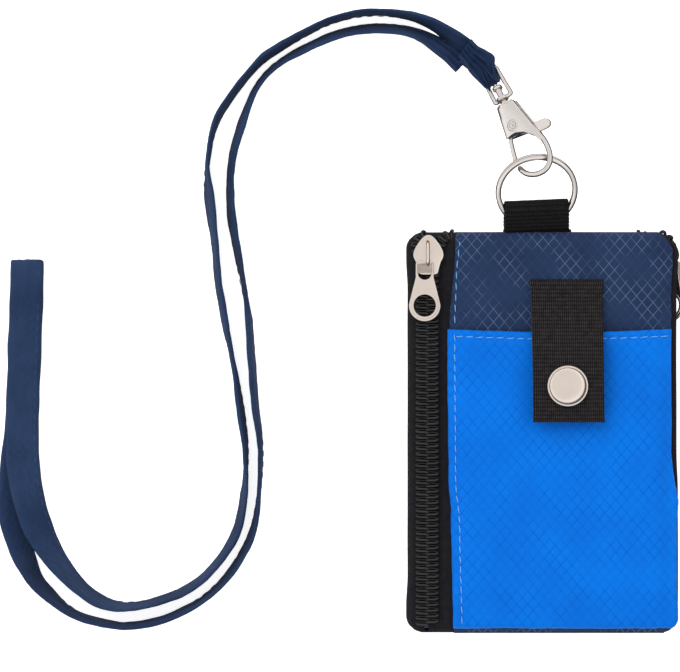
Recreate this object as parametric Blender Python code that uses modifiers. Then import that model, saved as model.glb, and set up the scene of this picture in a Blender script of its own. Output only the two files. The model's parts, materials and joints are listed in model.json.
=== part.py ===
"""A small zip wallet on a neck lanyard, lying on its back, in metres with +Z up.

It is drawn with the wallet's centre at X = Y = 0, its back on Z = 0 and its top edge along +Y, and then
moved so that the origin is the middle of the footprint of all its pieces but the lanyard.
"""
import math

import bmesh
import bpy
from mathutils import Matrix, Vector

MM = 0.001
COLLECTION_NAME = "lanyard_wallet"
CUTTER_COLLECTION_NAME = "cutters"
MERGE = 0.02 * MM
CLEAR = 0.3 * MM
OVERRUN = 8 * MM

# Badge window in the back, which sets the wallet's size with the cloth borders round it
WINDOW_WIDTH = 46.7 * MM
WINDOW_HEIGHT = 75.2 * MM
WINDOW_LEFT_BORDER = 11.6 * MM
WINDOW_RIGHT_BORDER = 23.7 * MM
WINDOW_TOP_BORDER = 20 * MM
WINDOW_BOTTOM_BORDER = 24.8 * MM
WINDOW_LAP = 3 * MM
FILM_WALL = 0.3 * MM
LINING_WALL = 0.5 * MM
DIVIDER_WALL = 0.5 * MM
DIVIDER_SIDE_GAP = 5 * MM

# Wallet body: the zip tapes lie on the base form, the panels a little outside it
WALLET_WIDTH = WINDOW_LEFT_BORDER + WINDOW_WIDTH + WINDOW_RIGHT_BORDER
WALLET_HEIGHT = WINDOW_BOTTOM_BORDER + WINDOW_HEIGHT + WINDOW_TOP_BORDER
WALLET_DEPTH = 12.4 * MM
PANEL_WALL = 0.8 * MM
TAPE_WALL = 0.5 * MM
PANEL_OFFSET = CLEAR + PANEL_WALL
TIP_TRIM = 1.5 * MM
FRONT_BAND_WIDTH = 12.8 * MM
FRONT_BAND_DROP = 2.72 * MM
BACK_BAND_WIDTH = 13.9 * MM
LEFT_BACK_RADIUS = 2.2 * MM
RIGHT_BACK_RADIUS = 6 * MM
TIP_RADIUS = 0.7 * MM
FRONT_BEND_RADIUS = 15 * MM
LEFT_FRONT_RADIUS = 2.5 * MM
CORNER_RADIUS = 5 * MM
SEAM_HEIGHT = 5 * MM
ARC_STEPS = 4
FRONT_EDGE = 2
END_STATION_SHARES = (0, 0.25, 0.5, 0.7, 0.85, 0.95, 0.985)
FRONT_PANEL_LEFT = FRONT_BAND_WIDTH
FRONT_PANEL_MARGIN = 1.8 * MM
BACK_PANEL_MARGIN = 2.5 * MM

# Front pocket
POCKET_DROP = 29 * MM
POCKET_TOP = WALLET_HEIGHT / 2 - POCKET_DROP
POCKET_HEM = 1.2 * MM
POCKET_WALL = 0.8 * MM
POCKET_ROOM = 1.0 * MM
POCKET_EASE = 6 * MM

# Zips: a local frame has X across the chain, inward, Y along it and Z out of the tape
ZIP_SLOT_HALF = 1.7 * MM
FRONT_ZIP_EDGE_GAP = 6.2 * MM
BACK_ZIP_EDGE_GAP = 8.4 * MM
TAPE_REGION_DEPTH = 4 * MM
TAPE_REGION_RISE = 2 * MM
TIP_WRAP = 2.9 * MM
TAPE_REACH = 13 * MM
CHAIN_HALF_WIDTH = 3 * MM
CHAIN_HEIGHT = 1.8 * MM
RAIL_WIDTH = 1.1 * MM
TOOTH_PITCH = 1.7 * MM
TOOTH_WIDTH = 0.55 * MM
TOOTH_LAP = 0.9 * MM
CHAIN_FOOT_GAP = 2 * MM
CHAIN_TOP_GAP = 0.2 * MM
CHAIN_END = WALLET_HEIGHT / 2 - CHAIN_FOOT_GAP
CHAIN_TOP = WALLET_HEIGHT / 2 - CHAIN_TOP_GAP
CHAIN_PARTING = 1.3 * MM
CHAIN_LOCK_SHARE = 0.72

# Sliders
SLIDER_TOP_GAP = 0.8 * MM
SLIDER_NOSE = WALLET_HEIGHT / 2 - SLIDER_TOP_GAP
SLIDER_LENGTH = 12.1 * MM
SLIDER_HALF_WIDTH = 4.6 * MM
SLIDER_PLATE = 1.0 * MM
SLIDER_FLOOR_PLATE = 0.9 * MM
SLIDER_POST_HALF = 1.4 * MM
SLIDER_FLANGE = 0.6 * MM
BRIDGE_RADIUS = 0.65 * MM
BRIDGE_RISE = 2.65 * MM
SLIDER_OUTLINE_SHARES = (
    (0.0, 1.0), (0.5, 0.93), (0.87, 0.73), (1.0, 0.5), (0.92, 0.31), (0.84, 0.12), (0.74, 0.0))
SLIDER_FLOOR_SHARES = ((0.55, 0.9), (0.8, 0.74), (0.87, 0.5), (0.83, 0.38), (0.7, 0.29))
SLIDER_POST_SHARES = ((0.0, 0.86), (0.75, 0.78), (1.0, 0.62), (0.7, 0.46), (0.0, 0.32))
FLANGE_SHARES = (0.94, 0.64)
BRIDGE_SHARES = ((0.834, 0), (0.694, 0.74), (0.488, 1.02), (0.3, 1.0), (0.175, 0.6), (0.15, 0))

# Zip pulls
PULL_LENGTH = 18.3 * MM
PULL_TOP_WIDTH = 5.5 * MM
PULL_END_WIDTH = 9.6 * MM
PULL_THICKNESS = 1.0 * MM
PULL_BAR = 0.85 * MM
PULL_CORNER_SHARE = 0.8
PULL_SLOT_WIDTH = 4.0 * MM
PULL_SLOT_LENGTH = 4.8 * MM
PULL_HOLE_RADIUS = 3.4 * MM
PULL_RIM = 0.8 * MM
PULL_RIM_RISE = 0.35 * MM
PULL_SIDE_SHIFT = 1.1 * MM
PULL_SLOPE_DEG = 4.5
PULL_BAR_HEIGHT = 4.4 * MM
PULL_BAR_FROM_NOSE = 8.45 * MM

# Snap tab and its fastener
TAB_WIDTH = 21.7 * MM
TAB_DROP = 14.2 * MM
TAB_LENGTH = 42.2 * MM
TAB_INSET = 37.4 * MM
TAB_TOP = WALLET_HEIGHT / 2 - TAB_DROP
TAB_END = TAB_TOP - TAB_LENGTH
TAB_LEFT = -WALLET_WIDTH / 2 + TAB_INSET
TAB_WALL = 1.1 * MM
SNAP_FROM_END = 10.4 * MM
SNAP_Y = TAB_END + SNAP_FROM_END
CAP_RADIUS = 6.2 * MM
CAP_EDGE = 0.7 * MM
CAP_DOME = 1.5 * MM
CAP_POST_RADIUS = 1.5 * MM
SOCKET_RADIUS = 5.2 * MM
SOCKET_BORE = 2.6 * MM
SOCKET_HEIGHT = 1.8 * MM
STUD_RADIUS = 4.2 * MM
STUD_FLANGE = 0.5 * MM
STUD_KNOB_RADIUS = 2.2 * MM
STUD_KNOB_RISE = 1.7 * MM
STUD_SHANK_RADIUS = 1.2 * MM
STUD_BACK_RADIUS = 3.6 * MM
STUD_BACK_WALL = 0.6 * MM

# Split ring: its frame lies in the ring's plane
RING_OUTER = 24.8 * MM
RING_WIRE = 1.65 * MM
RING_LAYER = 0.95 * MM
RING_PITCH = 1.05 * MM
RING_TILT_DEG = 29
RING_ROLL_DEG = 5
RING_SIDE_SHIFT = -1.9 * MM
RING_RISE = 13.1 * MM
RING_HEIGHT = 12.4 * MM
RING_CENTER = (RING_SIDE_SHIFT, WALLET_HEIGHT / 2 + RING_RISE, RING_HEIGHT)
RING_START_DEG = 255
RING_SWEEP_DEG = 679
RING_RAMP_START_DEG = 322
RING_RAMP_DEG = 35
RING_STEP_DEG = 7

# Webbing loop that keeps the ring
KEEPER_WIDTH = 19.2 * MM
KEEPER_BASE_WIDTH = 20.3 * MM
KEEPER_WALL = 1.1 * MM
KEEPER_ROOM = 0.75 * MM
KEEPER_FOLD_GAP = 0.35 * MM
KEEPER_MOUTH_SHARE = 0.58
KEEPER_SHIFT_SHARE = 0.033

# Trigger snap: its frame has the origin on the rivet, Y toward the strap and Z out of its face
SNAP_SIDE_SHIFT = -8.5 * MM
SNAP_RISE = 32.45 * MM
SNAP_HEIGHT = 12.8 * MM
SNAP_ORIGIN = (SNAP_SIDE_SHIFT, WALLET_HEIGHT / 2 + SNAP_RISE, SNAP_HEIGHT)
SNAP_HEADING_DEG = 25.16
SNAP_SLOPE_DEG = -21.5
SNAP_ROLL_DEG = -24
HOOK_LENGTH = 25 * MM
HOOK_COLLAR = 7.4 * MM
HOOK_CLAW_WIDTH = 12.3 * MM
HOOK_THICKNESS = 3.4 * MM
CLAW_THICKNESS = 1.8 * MM
LEVER_SLOT = 1.7 * MM
LEVER_THICKNESS = 1.1 * MM
LEVER_HUB = 1.9 * MM
RIVET_RADIUS = 0.9 * MM
RIVET_HEAD = 1.8 * MM
RIVET_HEAD_HEIGHT = 0.45 * MM
SPRING_WIRE = 0.25 * MM
POST_RADIUS = 0.95 * MM
POST_HEAD = 1.6 * MM
POST_RISE = 6.2 * MM
COLLAR_RADIUS = 2.9 * MM
EYE_HALF_WIDTH = 3.3 * MM
EYE_WIRE = 1.3 * MM
EYE_START = 8.4 * MM
EYE_LENGTH = 11.4 * MM
EYE_BOSS = 2.2 * MM

# Lanyard: the route's points are picture positions, turned to metres by the scale below
STRAP_WIDTH = 10 * MM
STRAP_THICKNESS = 1.2 * MM
PICTURE_SCALE = 0.3015 * MM
PICTURE_CENTER = (542, 432)
STRAP_STATIONS = 80
ROUTE_STEPS = 8
BEND_WEIGHT = 2


def make_collections():
    for obj in list(bpy.data.objects):
        bpy.data.objects.remove(obj, do_unlink=True)
    model = bpy.data.collections.new(COLLECTION_NAME)
    cutters = bpy.data.collections.new(CUTTER_COLLECTION_NAME)
    for collection in (model, cutters):
        bpy.context.scene.collection.children.link(collection)
    return model, cutters


MODEL, CUTTERS = make_collections()


def material(name, colour, roughness, metallic=0.0):
    made = bpy.data.materials.new(name)
    made.use_nodes = True
    shader = made.node_tree.nodes["Principled BSDF"]
    shader.inputs["Base Color"].default_value = (*colour, 1.0)
    shader.inputs["Roughness"].default_value = roughness
    shader.inputs["Metallic"].default_value = metallic
    return made


NAVY = material("navy ripstop", (0.03, 0.05, 0.13), 0.75)
BLUE = material("royal blue ripstop", (0.0, 0.16, 0.68), 0.7)
TAPE = material("zip tape", (0.008, 0.008, 0.01), 0.9)
COIL = material("zip coil", (0.01, 0.01, 0.012), 0.45)
WEBBING = material("black webbing", (0.01, 0.01, 0.012), 0.85)
STRAP = material("navy webbing", (0.03, 0.045, 0.1), 0.8)
NICKEL = material("pale nickel", (0.83, 0.79, 0.72), 0.22, 1.0)
FILM = material("clear film", (0.55, 0.58, 0.65), 0.12)
LINING = material("grey lining", (0.12, 0.13, 0.2), 0.85)


def add_object(name, mesh, look, frame=None):
    obj = bpy.data.objects.new(name, mesh)
    MODEL.objects.link(obj)
    if look is not None:
        mesh.materials.clear()
        mesh.materials.append(look)
    if frame is not None:
        obj.matrix_world = frame
    return obj


def shade(obj, angle_deg=35):
    obj.data.shade_smooth()
    obj.data.set_sharp_from_angle(angle=math.radians(angle_deg))


def as_cutter(obj):
    for collection in list(obj.users_collection):
        collection.objects.unlink(obj)
    CUTTERS.objects.link(obj)
    obj.hide_render = True
    obj.display_type = "WIRE"
    return obj


def cut(obj, cutter, operation="DIFFERENCE"):
    step = obj.modifiers.new(operation.lower(), "BOOLEAN")
    step.operation = operation
    step.object = as_cutter(cutter)
    return obj


def box(name, low, high, look=None, frame=None):
    mesh = bpy.data.meshes.new(name)
    form = bmesh.new()
    bmesh.ops.create_cube(form, size=1)
    size = [b - a for a, b in zip(low, high)]
    middle = [(a + b) / 2 for a, b in zip(low, high)]
    bmesh.ops.scale(form, vec=size, verts=form.verts)
    bmesh.ops.translate(form, vec=middle, verts=form.verts)
    form.to_mesh(mesh)
    form.free()
    return add_object(name, mesh, look, frame)


def cylinder(name, radius, low, high, look=None, frame=None, sides=24, axis="Z"):
    mesh = bpy.data.meshes.new(name)
    form = bmesh.new()
    turn = Matrix.Rotation(-math.pi / 2, 4, "X") if axis == "Y" else Matrix()
    place = turn @ Matrix.Translation((0, 0, (low + high) / 2))
    bmesh.ops.create_cone(
        form, cap_ends=True, segments=sides, radius1=radius, radius2=radius, depth=high - low, matrix=place)
    form.to_mesh(mesh)
    form.free()
    obj = add_object(name, mesh, look, frame)
    shade(obj)
    return obj


def smooth_points(points, steps, closed=False):
    """Points of a smooth curve through the given ones, `steps` to each stretch."""
    count = len(points)
    given = [Vector(p) for p in points]
    stretches = count if closed else count - 1
    out = []
    for i in range(stretches):
        if closed:
            a, b, c, d = (given[(i + k) % count] for k in (-1, 0, 1, 2))
        else:
            b, c = given[i], given[i + 1]
            a = given[i - 1] if i else 2 * b - c
            d = given[i + 2] if i + 2 < count else 2 * c - b
        for k in range(steps):
            t = k / steps
            out.append(0.5 * (2 * b + (c - a) * t + (2 * a - 5 * b + 4 * c - d) * t ** 2
                              + (3 * b - a - 3 * c + d) * t ** 3))
    if not closed:
        out.append(given[-1])
    return out


def curve_mesh(curve, name):
    """The mesh of a curve, with its caps welded."""
    carrier = bpy.data.objects.new(name + " guide", curve)
    MODEL.objects.link(carrier)
    graph = bpy.context.evaluated_depsgraph_get()
    mesh = bpy.data.meshes.new_from_object(carrier.evaluated_get(graph))
    mesh.name = name
    form = bmesh.new()
    form.from_mesh(mesh)
    bmesh.ops.remove_doubles(form, verts=form.verts, dist=MERGE / 20)
    form.to_mesh(mesh)
    form.free()
    bpy.data.objects.remove(carrier, do_unlink=True)
    return mesh


def flat(name, outlines, low, high, look=None, frame=None):
    """A flat outline, with any holes in it, from height low to high; it is filled in millimetres."""
    curve = bpy.data.curves.new(name, "CURVE")
    curve.dimensions = "2D"
    curve.fill_mode = "BOTH"
    curve.extrude = (high - low) / 2 / MM
    for outline in outlines:
        spline = curve.splines.new("POLY")
        spline.points.add(len(outline) - 1)
        for point, place in zip(spline.points, outline):
            point.co = (place[0] / MM, place[1] / MM, 0, 1)
        spline.use_cyclic_u = True
    mesh = curve_mesh(curve, name)
    mesh.transform(Matrix.Translation((0, 0, (low + high) / 2)) @ Matrix.Scale(MM, 4))
    return add_object(name, mesh, look, frame)


def plate(name, outline, low, high, look=None, frame=None):
    """A face drawn round one outline and extruded, for edges with many points in line."""
    mesh = bpy.data.meshes.new(name)
    form = bmesh.new()
    face = form.faces.new([form.verts.new((x, y, low)) for x, y in outline])
    raised = bmesh.ops.extrude_face_region(form, geom=[face])["geom"]
    tops = [item for item in raised if isinstance(item, bmesh.types.BMVert)]
    bmesh.ops.translate(form, vec=(0, 0, high - low), verts=tops)
    bmesh.ops.recalc_face_normals(form, faces=form.faces)
    form.to_mesh(mesh)
    form.free()
    return add_object(name, mesh, look, frame)


def wire(name, points, radius, look=None, frame=None, closed=False, resolution=2):
    curve = bpy.data.curves.new(name, "CURVE")
    curve.dimensions = "3D"
    curve.bevel_depth = radius
    curve.bevel_resolution = resolution
    curve.use_fill_caps = True
    spline = curve.splines.new("POLY")
    spline.points.add(len(points) - 1)
    for point, place in zip(spline.points, points):
        point.co = (*place, 1)
    spline.use_cyclic_u = closed
    obj = add_object(name, curve_mesh(curve, name), look, frame)
    shade(obj, 50)
    return obj


def turned(name, profile, look=None, frame=None, steps=32):
    """A closed (radius, height) profile turned about Z, listed down its outer side."""
    mesh = bpy.data.meshes.new(name)
    points = [(radius, 0, height) for radius, height in profile]
    ring = [(i, i + 1) for i in range(len(points) - 1)]
    if profile[0][0] > 0:
        ring.append((len(points) - 1, 0))
    mesh.from_pydata(points, ring, [])
    obj = add_object(name, mesh, look, frame)
    spin = obj.modifiers.new("turn", "SCREW")
    spin.steps = spin.render_steps = steps
    spin.use_merge_vertices = True
    spin.merge_threshold = MERGE / 20
    spin.use_smooth_shade = True
    return obj


def loft(name, rings, look=None, frame=None, closed=False):
    """A skin through rings of equal point counts, with flat ends unless it is closed."""
    mesh = bpy.data.meshes.new(name)
    form = bmesh.new()
    rows = [[form.verts.new(p) for p in ring] for ring in rings]
    count = len(rows[0])
    pairs = list(zip(rows, rows[1:]))
    if closed:
        pairs.append((rows[-1], rows[0]))
    for a, b in pairs:
        for i in range(count):
            k = (i + 1) % count
            form.faces.new((a[i], a[k], b[k], b[i]))
    if not closed:
        form.faces.new(list(reversed(rows[0])))
        form.faces.new(rows[-1])
    bmesh.ops.recalc_face_normals(form, faces=form.faces)
    form.to_mesh(mesh)
    form.free()
    return add_object(name, mesh, look, frame)


def joint(name, place):
    """An empty on a joint's axis."""
    empty = bpy.data.objects.new(name, None)
    MODEL.objects.link(empty)
    empty.matrix_world = Matrix.Translation(place)
    return empty


def carry(parent, *children):
    bpy.context.view_layer.update()
    for child in children:
        world = child.matrix_world.copy()
        child.parent = parent
        child.matrix_parent_inverse = parent.matrix_world.inverted()
        child.matrix_world = world


def ease(value):
    t = min(1.0, max(0.0, value))
    return t * t * (3 - 2 * t)


# The wallet's forms

def profile_corners():
    half = WALLET_WIDTH / 2
    low = PANEL_OFFSET
    high = WALLET_DEPTH - PANEL_OFFSET
    tip = half + TIP_TRIM
    return (
        ((-half, low), LEFT_BACK_RADIUS),
        ((tip - BACK_BAND_WIDTH, low), RIGHT_BACK_RADIUS),
        ((tip, high), TIP_RADIUS),
        ((-half + FRONT_BAND_WIDTH, high), FRONT_BEND_RADIUS),
        ((-half, high - FRONT_BAND_DROP), LEFT_FRONT_RADIUS),
    )


def offset_corners(offset):
    given = profile_corners()
    count = len(given)
    lines = []
    for i in range(count):
        a = Vector(given[i][0])
        b = Vector(given[(i + 1) % count][0])
        along = (b - a).normalized()
        out = Vector((along.y, -along.x))
        lines.append((a + out * offset, along))
    corners = []
    for i in range(count):
        (p, u), (q, v) = lines[i - 1], lines[i]
        w = q - p
        t = (w.x * v.y - w.y * v.x) / (u.x * v.y - u.y * v.x)
        corners.append((p + u * t, given[i][1] + offset))
    return corners


def form_profile(offset, splits=0):
    """The rounded cross-section, anticlockwise in X and Z, with its front edge split for a pocket."""
    corners = offset_corners(offset)
    count = len(corners)
    arcs = []
    for i, (corner, radius) in enumerate(corners):
        before = (corners[i - 1][0] - corner).normalized()
        after = (corners[(i + 1) % count][0] - corner).normalized()
        half = math.acos(max(-1, min(1, before.dot(after)))) / 2
        reach = radius / math.tan(half)
        centre = corner + (before + after).normalized() * (radius / math.sin(half))
        start = corner + before * reach - centre
        sweep = math.pi - 2 * half
        turns = [sweep * k / ARC_STEPS for k in range(ARC_STEPS + 1)]
        arcs.append([centre + Matrix.Rotation(a, 2) @ start for a in turns])
    points = []
    for i, bend in enumerate(arcs):
        points += bend
        if splits and i == FRONT_EDGE:
            a, b = bend[-1], arcs[i + 1][0]
            points += [a.lerp(b, 0.5 - 0.5 * math.cos(math.pi * k / splits)) for k in range(1, splits)]
    return points


def rounded_end(point, share):
    """The cross-section's point where the end's rounding has run this share of its reach."""
    x, z = point
    low = 1 - share ** 4
    z = SEAM_HEIGHT + (z - SEAM_HEIGHT) * low ** 0.25
    inner = WALLET_WIDTH / 2 - CORNER_RADIUS
    if abs(x) > inner:
        x = math.copysign(inner + (abs(x) - inner) * math.sqrt(1 - share ** 2), x)
    return x, z


def wallet_form(name, offset, lift=0.0):
    """The solid inside the surface at this offset; a lift raises its front over the pocket."""
    straight = WALLET_HEIGHT / 2 - CORNER_RADIUS
    reach = CORNER_RADIUS - PANEL_OFFSET + offset
    ends = [straight + reach * share for share in END_STATION_SHARES]
    stations = [-y for y in reversed(ends)] + ends
    if lift:
        steps = 8
        inner = [-straight + 2 * straight * k / (2 * steps) for k in range(1, 2 * steps)]
        stations = sorted(stations + inner)
    profile = form_profile(offset, 12 if lift else 0)
    rings = []
    for y in stations:
        share = max(0.0, (abs(y) - straight) / reach)
        ring = []
        for point in profile:
            x, z = rounded_end(point, share)
            if lift and z > SEAM_HEIGHT:
                z += lift * pocket_room(x, y)
            ring.append((x, y, z))
        rings.append(ring)
    return loft(name, rings)


def pocket_room(x, y):
    """How far the pocket stands off the panel, from 0 at its seams to 1 inside."""
    left = -WALLET_WIDTH / 2 + FRONT_PANEL_LEFT
    right = WALLET_WIDTH / 2 - FRONT_PANEL_MARGIN
    low = -WALLET_HEIGHT / 2 + POCKET_HEM
    return (ease((x - left) / POCKET_EASE) * ease((right - x) / POCKET_EASE)
            * ease((y - low) / (2 * POCKET_EASE)))


def shell(name, outer, inner, keep, look, lift=0.0):
    """The wall between two forms, kept inside a region."""
    obj = wallet_form(name, outer, lift)
    obj.data.materials.append(look)
    cut(obj, wallet_form(name + " inside", inner, lift))
    cut(obj, keep, "INTERSECT")
    return obj


def wallet_shells():
    half = WALLET_WIDTH / 2
    end = WALLET_HEIGHT / 2 + OVERRUN
    top = WALLET_DEPTH + OVERRUN
    seam_gap = CLEAR / 2
    left = -half + FRONT_PANEL_LEFT
    right = half - FRONT_PANEL_MARGIN
    front = shell(
        "front_panel", PANEL_OFFSET, CLEAR,
        box("front region", (left, -end, SEAM_HEIGHT + seam_gap), (right, end, top)), NAVY)
    pocket_low = PANEL_OFFSET + CLEAR
    pocket = shell(
        "front_pocket", pocket_low + POCKET_WALL, pocket_low,
        box("pocket region", (left, -WALLET_HEIGHT / 2 + POCKET_HEM, SEAM_HEIGHT + 2 * seam_gap),
            (right, POCKET_TOP, top)), BLUE, POCKET_ROOM)
    back_right = half + TIP_TRIM - BACK_BAND_WIDTH + CLEAR
    back_region = box(
        "back region", (-half + BACK_PANEL_MARGIN, -end, -OVERRUN), (back_right, end, SEAM_HEIGHT - seam_gap))
    back = shell("back_panel", PANEL_OFFSET, CLEAR, back_region, NAVY)
    hole = window_box("window hole", -OVERRUN, 2 * PANEL_WALL, 0)
    cut(back, hole)
    band = back_zip_frame()
    for obj in (front, pocket):
        clear = box(
            "back band clearance", (-WALLET_WIDTH, -end, -PANEL_OFFSET - CLEAR), (WALLET_WIDTH, end, OVERRUN),
            frame=band)
        cut(obj, clear)
    for obj in (front, pocket, back):
        shade(obj)
    return [front, pocket, back]


def window_box(name, low, high, lap, look=None):
    left = -WALLET_WIDTH / 2 + WINDOW_LEFT_BORDER
    bottom = -WALLET_HEIGHT / 2 + WINDOW_BOTTOM_BORDER
    return box(
        name, (left - lap, bottom - lap, low),
        (left + WINDOW_WIDTH + lap, bottom + WINDOW_HEIGHT + lap, high), look)


def window_and_divider():
    film_low = PANEL_WALL + CLEAR
    lining_low = film_low + FILM_WALL + CLEAR
    film = window_box("window_film", film_low, film_low + FILM_WALL, WINDOW_LAP, FILM)
    lining = window_box("window_lining", lining_low, lining_low + LINING_WALL, WINDOW_LAP, LINING)
    half = WALLET_WIDTH / 2
    divider = wallet_form("divider", 0)
    divider.data.materials.append(NAVY)
    back_right = half + TIP_TRIM - BACK_BAND_WIDTH - 4 * LINING_WALL
    region = box(
        "divider region", (-half + DIVIDER_SIDE_GAP, -WALLET_HEIGHT, SEAM_HEIGHT - DIVIDER_WALL / 2),
        (back_right, WALLET_HEIGHT, SEAM_HEIGHT + DIVIDER_WALL / 2))
    cut(divider, region, "INTERSECT")
    return [film, lining, divider]


# Zips

def front_zip_frame():
    tilt = math.atan2(FRONT_BAND_DROP, FRONT_BAND_WIDTH)
    edge = Vector((-WALLET_WIDTH / 2, 0, WALLET_DEPTH - PANEL_OFFSET - FRONT_BAND_DROP))
    inward = Vector((math.cos(tilt), 0, math.sin(tilt)))
    return zip_frame(edge + inward * FRONT_ZIP_EDGE_GAP, inward)


def back_zip_frame():
    rise = WALLET_DEPTH - 2 * PANEL_OFFSET
    tip = Vector((WALLET_WIDTH / 2 + TIP_TRIM, 0, WALLET_DEPTH - PANEL_OFFSET))
    inward = Vector((-BACK_BAND_WIDTH, 0, -rise)).normalized()
    return zip_frame(tip + inward * BACK_ZIP_EDGE_GAP, inward)


def zip_frame(origin, inward):
    along = Vector((0, 1, 0))
    out = inward.cross(along)
    axes = Matrix((inward, along, out)).transposed().to_4x4()
    return Matrix.Translation(origin) @ axes


def zip_tapes():
    front = front_zip_frame()
    back = back_zip_frame()
    half = WALLET_WIDTH / 2
    end = WALLET_HEIGHT / 2 + OVERRUN
    low = (ZIP_SLOT_HALF, -end, -TAPE_REGION_DEPTH)
    high = (TAPE_REACH, end, TAPE_REGION_RISE)
    slot_edge = front.translation.x - ZIP_SLOT_HALF * front.col[0].x
    regions = {
        "front_tape_inner": box("front inner region", low, high, frame=front),
        "front_tape_outer": box(
            "front outer region", (-half - OVERRUN, -end, -OVERRUN),
            (slot_edge, end, WALLET_DEPTH + OVERRUN)),
        "back_tape_inner": box("back inner region", low, high, frame=back),
        "back_tape_outer": box(
            "back outer region", (-TAPE_REACH, -end, -TIP_WRAP), (-ZIP_SLOT_HALF, end, TAPE_REGION_RISE),
            frame=back),
    }
    tapes = []
    for name, region in regions.items():
        tape = shell(name, 0, -TAPE_WALL, region, TAPE)
        shade(tape)
        tapes.append(tape)
    return tapes


def parting(y):
    """How far a row of teeth stands aside above the slider's mouth."""
    start = SLIDER_NOSE - BRIDGE_SHARES[0][0] * SLIDER_LENGTH
    return CHAIN_PARTING * ease((y - start) / (CHAIN_TOP - start))


def coil_outline(side):
    """One row of teeth in plan: a rail with teeth that cross the chain's middle, offset by half a pitch."""
    locked_top = SLIDER_NOSE - CHAIN_LOCK_SHARE * SLIDER_LENGTH
    rail = CHAIN_HALF_WIDTH - RAIL_WIDTH
    shift = TOOTH_PITCH / 2 if side > 0 else 0
    outer_ys = [-CHAIN_END, locked_top] + [locked_top + (CHAIN_TOP - locked_top) * k / 5 for k in range(1, 6)]
    points = [(side * (CHAIN_HALF_WIDTH + parting(y)), y) for y in outer_ys]
    points += [(side * (rail + parting(y)), y) for y in reversed(outer_ys[1:])]
    count = int((locked_top + CHAIN_END - shift - TOOTH_WIDTH) / TOOTH_PITCH)
    for k in reversed(range(count)):
        y = -CHAIN_END + shift + TOOTH_WIDTH + k * TOOTH_PITCH
        points += [(side * rail, y + TOOTH_WIDTH), (-side * TOOTH_LAP, y + TOOTH_WIDTH)]
        points += [(-side * TOOTH_LAP, y), (side * rail, y)]
    points.append((side * rail, -CHAIN_END))
    return points


def make_chain(prefix, frame):
    coils = []
    for side, half_name in ((1, "inner"), (-1, "outer")):
        name = f"{prefix}_coil_{half_name}"
        coils.append(plate(name, coil_outline(side), CLEAR, CLEAR + CHAIN_HEIGHT, COIL, frame))
    return coils


def mirrored(shares, half_width, nose, length):
    right = [(half_width * across, nose - length * along) for across, along in shares]
    left = [(-x, y) for x, y in reversed(right) if x > 0]
    return right + left


def make_slider(name, frame):
    """A slider: top and bottom plates on a diamond post, side flanges and the pull's bridge."""
    top_low = 2 * CLEAR + CHAIN_HEIGHT
    floor_high = -TAPE_WALL - CLEAR
    outline = mirrored(SLIDER_OUTLINE_SHARES, SLIDER_HALF_WIDTH, SLIDER_NOSE, SLIDER_LENGTH)
    rim = smooth_points([(x, y, 0) for x, y in outline], 3, closed=True)
    slider = flat(name, [[(p.x, p.y) for p in rim]], top_low, top_low + SLIDER_PLATE, NICKEL, frame)
    floor_outline = mirrored(SLIDER_FLOOR_SHARES, SLIDER_HALF_WIDTH, SLIDER_NOSE, SLIDER_LENGTH)
    parts = [flat("floor plate", [floor_outline], floor_high - SLIDER_FLOOR_PLATE, floor_high, NICKEL, frame)]
    post = mirrored(SLIDER_POST_SHARES, SLIDER_POST_HALF, SLIDER_NOSE, SLIDER_LENGTH)
    in_top = top_low + SLIDER_PLATE / 2
    parts.append(flat("post", [post], floor_high - SLIDER_FLOOR_PLATE / 2, in_top, NICKEL, frame))
    inner = CHAIN_HALF_WIDTH + CLEAR
    low_y, high_y = (SLIDER_NOSE - share * SLIDER_LENGTH for share in FLANGE_SHARES)
    for side in (1, -1):
        xs = sorted((side * inner, side * (inner + SLIDER_FLANGE)))
        parts.append(box(
            "flange", (xs[0], low_y, CLEAR + CHAIN_HEIGHT / 3), (xs[1], high_y, in_top), NICKEL, frame))
    foot = top_low + SLIDER_PLATE - BRIDGE_RADIUS / 6
    arch = []
    for along, rise in BRIDGE_SHARES:
        arch.append((0, SLIDER_NOSE - SLIDER_LENGTH * (1 - along), foot + BRIDGE_RISE * rise))
    parts.append(wire("bridge", smooth_points(arch, 3), BRIDGE_RADIUS, NICKEL, frame))
    for piece in parts:
        cut(slider, piece, "UNION")
    shade(slider)
    return slider


def pull_frame(zip_axes):
    """The pull's own frame: origin on its bar, X across, -Y down its length."""
    place = Matrix.Translation((-PULL_SIDE_SHIFT, SLIDER_NOSE - PULL_BAR_FROM_NOSE, PULL_BAR_HEIGHT))
    slope = Matrix.Rotation(math.radians(PULL_SLOPE_DEG), 4, "X")
    return zip_axes @ place @ slope


def arc(centre, radius, start_deg, end_deg, steps):
    turns = [math.radians(start_deg + (end_deg - start_deg) * k / steps) for k in range(steps + 1)]
    return [(centre[0] + radius * math.cos(turn), centre[1] + radius * math.sin(turn)) for turn in turns]


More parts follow.
